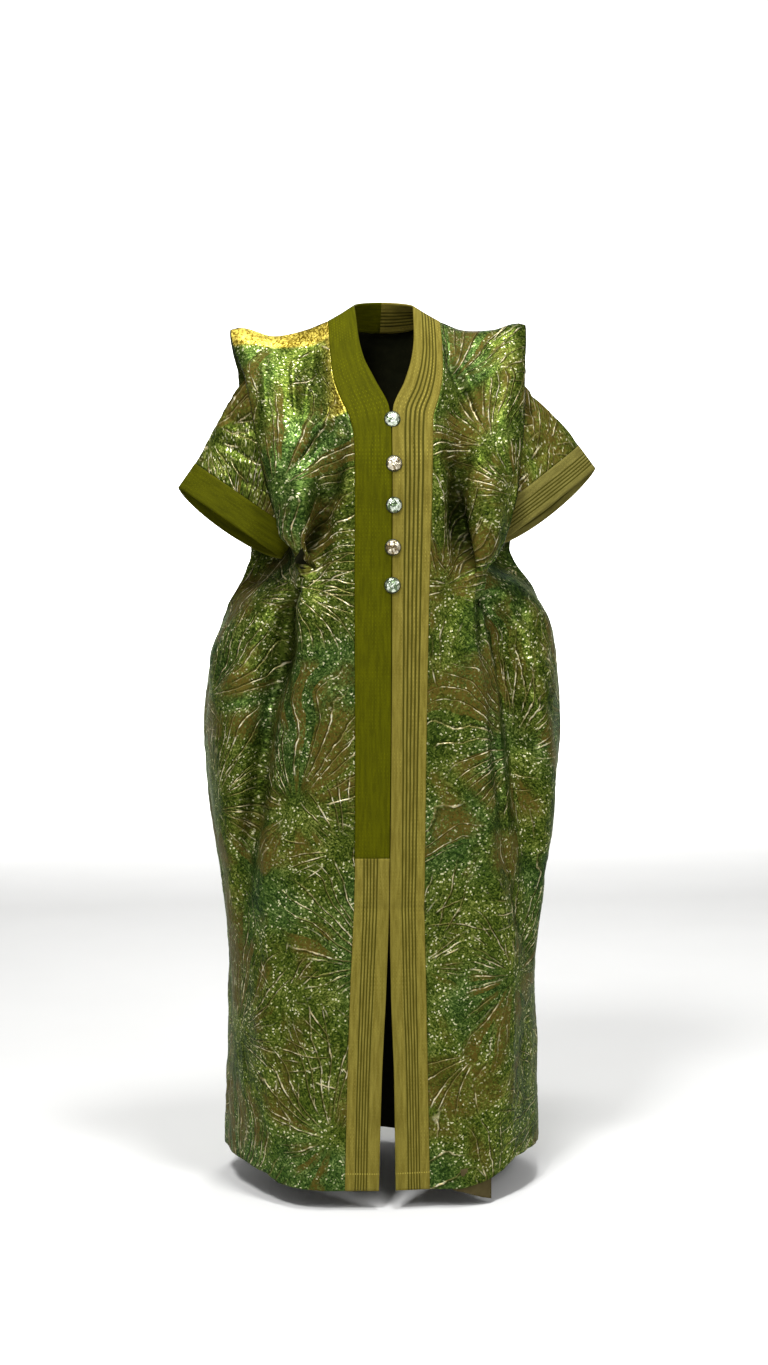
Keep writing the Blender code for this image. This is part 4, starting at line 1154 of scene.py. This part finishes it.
CORNER_TOP = 30
CORNER_DROPS = (2, 7, 14, 21, 27)
corner_first, corner_last = FRONT_STEPS[0] * 2 // 3, FRONT_STEPS[0] + FRONT_STEPS[1]
half, shaped, away, across, painted_shade_and_gold_light = halves["left"]
hem = shaped[-1, corner_first : corner_last + 1]
hem_away = away[-1, corner_first : corner_last + 1]
above = unit(shaped[-2, corner_first : corner_last + 1] - hem)
level = hem - hem_away * (CLOTH + SEAM)
drop = np.interp(np.linspace(0, 4, len(hem)), range(5), CORNER_DROPS)
drop += np.interp(hem[:, 0], HEM_LIFTED_X, HEM_LIFTED)
drop = drop[:, None] * np.array([0, 0, -1])
share = np.linspace(0, 1, 13)[:, None, None]
corner_points = level + np.where(share < 0.5, above * CORNER_TOP * (1 - 2 * share), drop * (2 * share - 1))
corner_place = np.stack([spread(corner_points, 1), -spread(corner_points, 0)], axis=2) / 1000
khaki = plain_finish("plain_khaki", (0.045, 0.035, 0.012), (0.10, 0.08, 0.035))
cells = np.ones((12, len(hem) - 1), bool)
corner = sheet_mesh(
    "hem_corner_cloth", corner_points + hem_away * CLOTH / 2, corner_points - hem_away * CLOTH / 2,
    corner_place, cells, (khaki, khaki),
)
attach(corner, "root")
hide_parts("hem_corner")


# The buttons: five domes of crumpled foil under clear lacquer, each in a narrow dark rim.
# They sit where the bands meet, sewn on through a shank behind, silver and gold by turns.

BUTTON_RADIUS = 13.5
BUTTON_THICK = 8
BUTTON_PLACES = ((3.5, 171), (5, 244), (4.5, 312), (2.5, 381), (1.5, 443))


def foil_finish(name, shade, shine):
    """Crumpled foil: each facet has its own painted tone, from dark shade to bright shine, that stands in for
    its reflection, and they meet in sharp creases.
    """
    finish = Finish(name, coat_roughness=0.04)
    place = finish.node("ShaderNodeTexCoord", {}, {})[3]
    facet = finish.node("ShaderNodeTexVoronoi", {}, {"Vector": place, "Scale": 210.0})
    pick = finish.node("ShaderNodeSeparateColor", {}, {0: facet[1]})[0]
    fine = finish.noise(place, 500.0, detail=2.0)
    return finish.end(
        base_color=finish.mix(pick.ramp(0.25, 0.85), shade, shine),
        metallic=0.9 - 0.2 * pick,
        roughness=0.16 + 0.25 * fine,
        coat_weight=0.5 + 0.3 * fine,
        normal=finish.relief(facet[0] + fine * 0.2, 0.0016, 1.0),
    )


def turned(name, profile, centre, up, out, crumple, material):
    """A solid of revolution about the line out through centre.

    profile lists radius and height. A ring's height is changed by up to crumple at random.
    """
    turns = np.linspace(0, 2 * math.pi, 49)[:-1]
    radius, height = np.array(profile, float).T
    side_way = np.cross(up, out)
    bump = np.random.default_rng(len(name) + round(abs(centre[2]))).uniform(-1, 1, (len(radius), 48))
    bump = (bump + np.roll(bump, 1, axis=1)) * 0.5 * (radius[:, None] > 1) * (height[:, None] > 2)
    rise = height[:, None] + crumple * bump
    points = centre + radius[:, None, None] * (
        np.cos(turns)[:, None] * side_way + np.sin(turns)[:, None] * up
    ) + rise[..., None] * out
    rings, around = points.shape[:2]
    i, j = np.meshgrid(np.arange(rings - 1), np.arange(around), indexing="ij")
    k = (j + 1) % around
    quads = cell_corners(i, j, k, around)[..., ::-1].reshape(-1, 4).tolist()
    mesh = bpy.data.meshes.new(name)
    caps = [tuple(range(around))[::-1], tuple(range((rings - 1) * around, rings * around))]
    mesh.from_pydata((points.reshape(-1, 3) * 0.001).tolist(), [], quads + caps)
    mesh.polygons.foreach_set("use_smooth", np.ones(len(mesh.polygons), bool))
    mesh.materials.append(material)
    return placed(name, mesh)


silver_foil = foil_finish("silver_green_foil", (0.10, 0.15, 0.07), (0.80, 0.88, 0.74))
gold_foil = foil_finish("gold_foil", (0.20, 0.15, 0.07), (0.92, 0.84, 0.66))
rim_finish = Finish("dark_rim", specular=0.5)
rim_place = rim_finish.node("ShaderNodeTexCoord", {}, {})[3]
rim_wear = rim_finish.noise(rim_place, 300.0)
dark_rim = rim_finish.end(
    base_color=rim_finish.mix(rim_wear, (0.010, 0.014, 0.006), (0.05, 0.06, 0.03)),
    metallic=0.6,
    roughness=0.3 + 0.2 * rim_wear,
)
for number, (across_x, depth) in enumerate(BUTTON_PLACES, 1):
    low, high = (np.array(corner) * 1000 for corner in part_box(f"button_{number}"))
    lean = math.asin(min(1, (high[1] - low[1] - BUTTON_THICK) / (2 * BUTTON_RADIUS)))
    up = np.array([0, math.sin(lean), math.cos(lean)])
    out = np.array([0, -math.cos(lean), math.sin(lean)])
    centre = np.array([across_x, high[1] - BUTTON_RADIUS * math.sin(lean), (low[2] + high[2]) / 2])
    dome = turned(
        f"button_{number}_dome",
        ((11.9, 0.2), (12.4, 1.6), (11.9, 3.4), (10.6, 5.0), (8.6, 6.3), (6.2, 7.2), (3.6, 7.7), (1.2, 7.9)),
        centre, up, out, 0.55, silver_foil if number % 2 else gold_foil,
    )
    rim = turned(
        f"button_{number}_rim",
        ((11.8, 0.3), (12.9, 0.1), (13.5, 0.9), (13.4, 1.9), (12.8, 2.5), (12.2, 2.3)),
        centre, up, out, 0.0, dark_rim,
    )
    for piece in (dome, rim):
        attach(piece, "root")
        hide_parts(f"button_{number}")
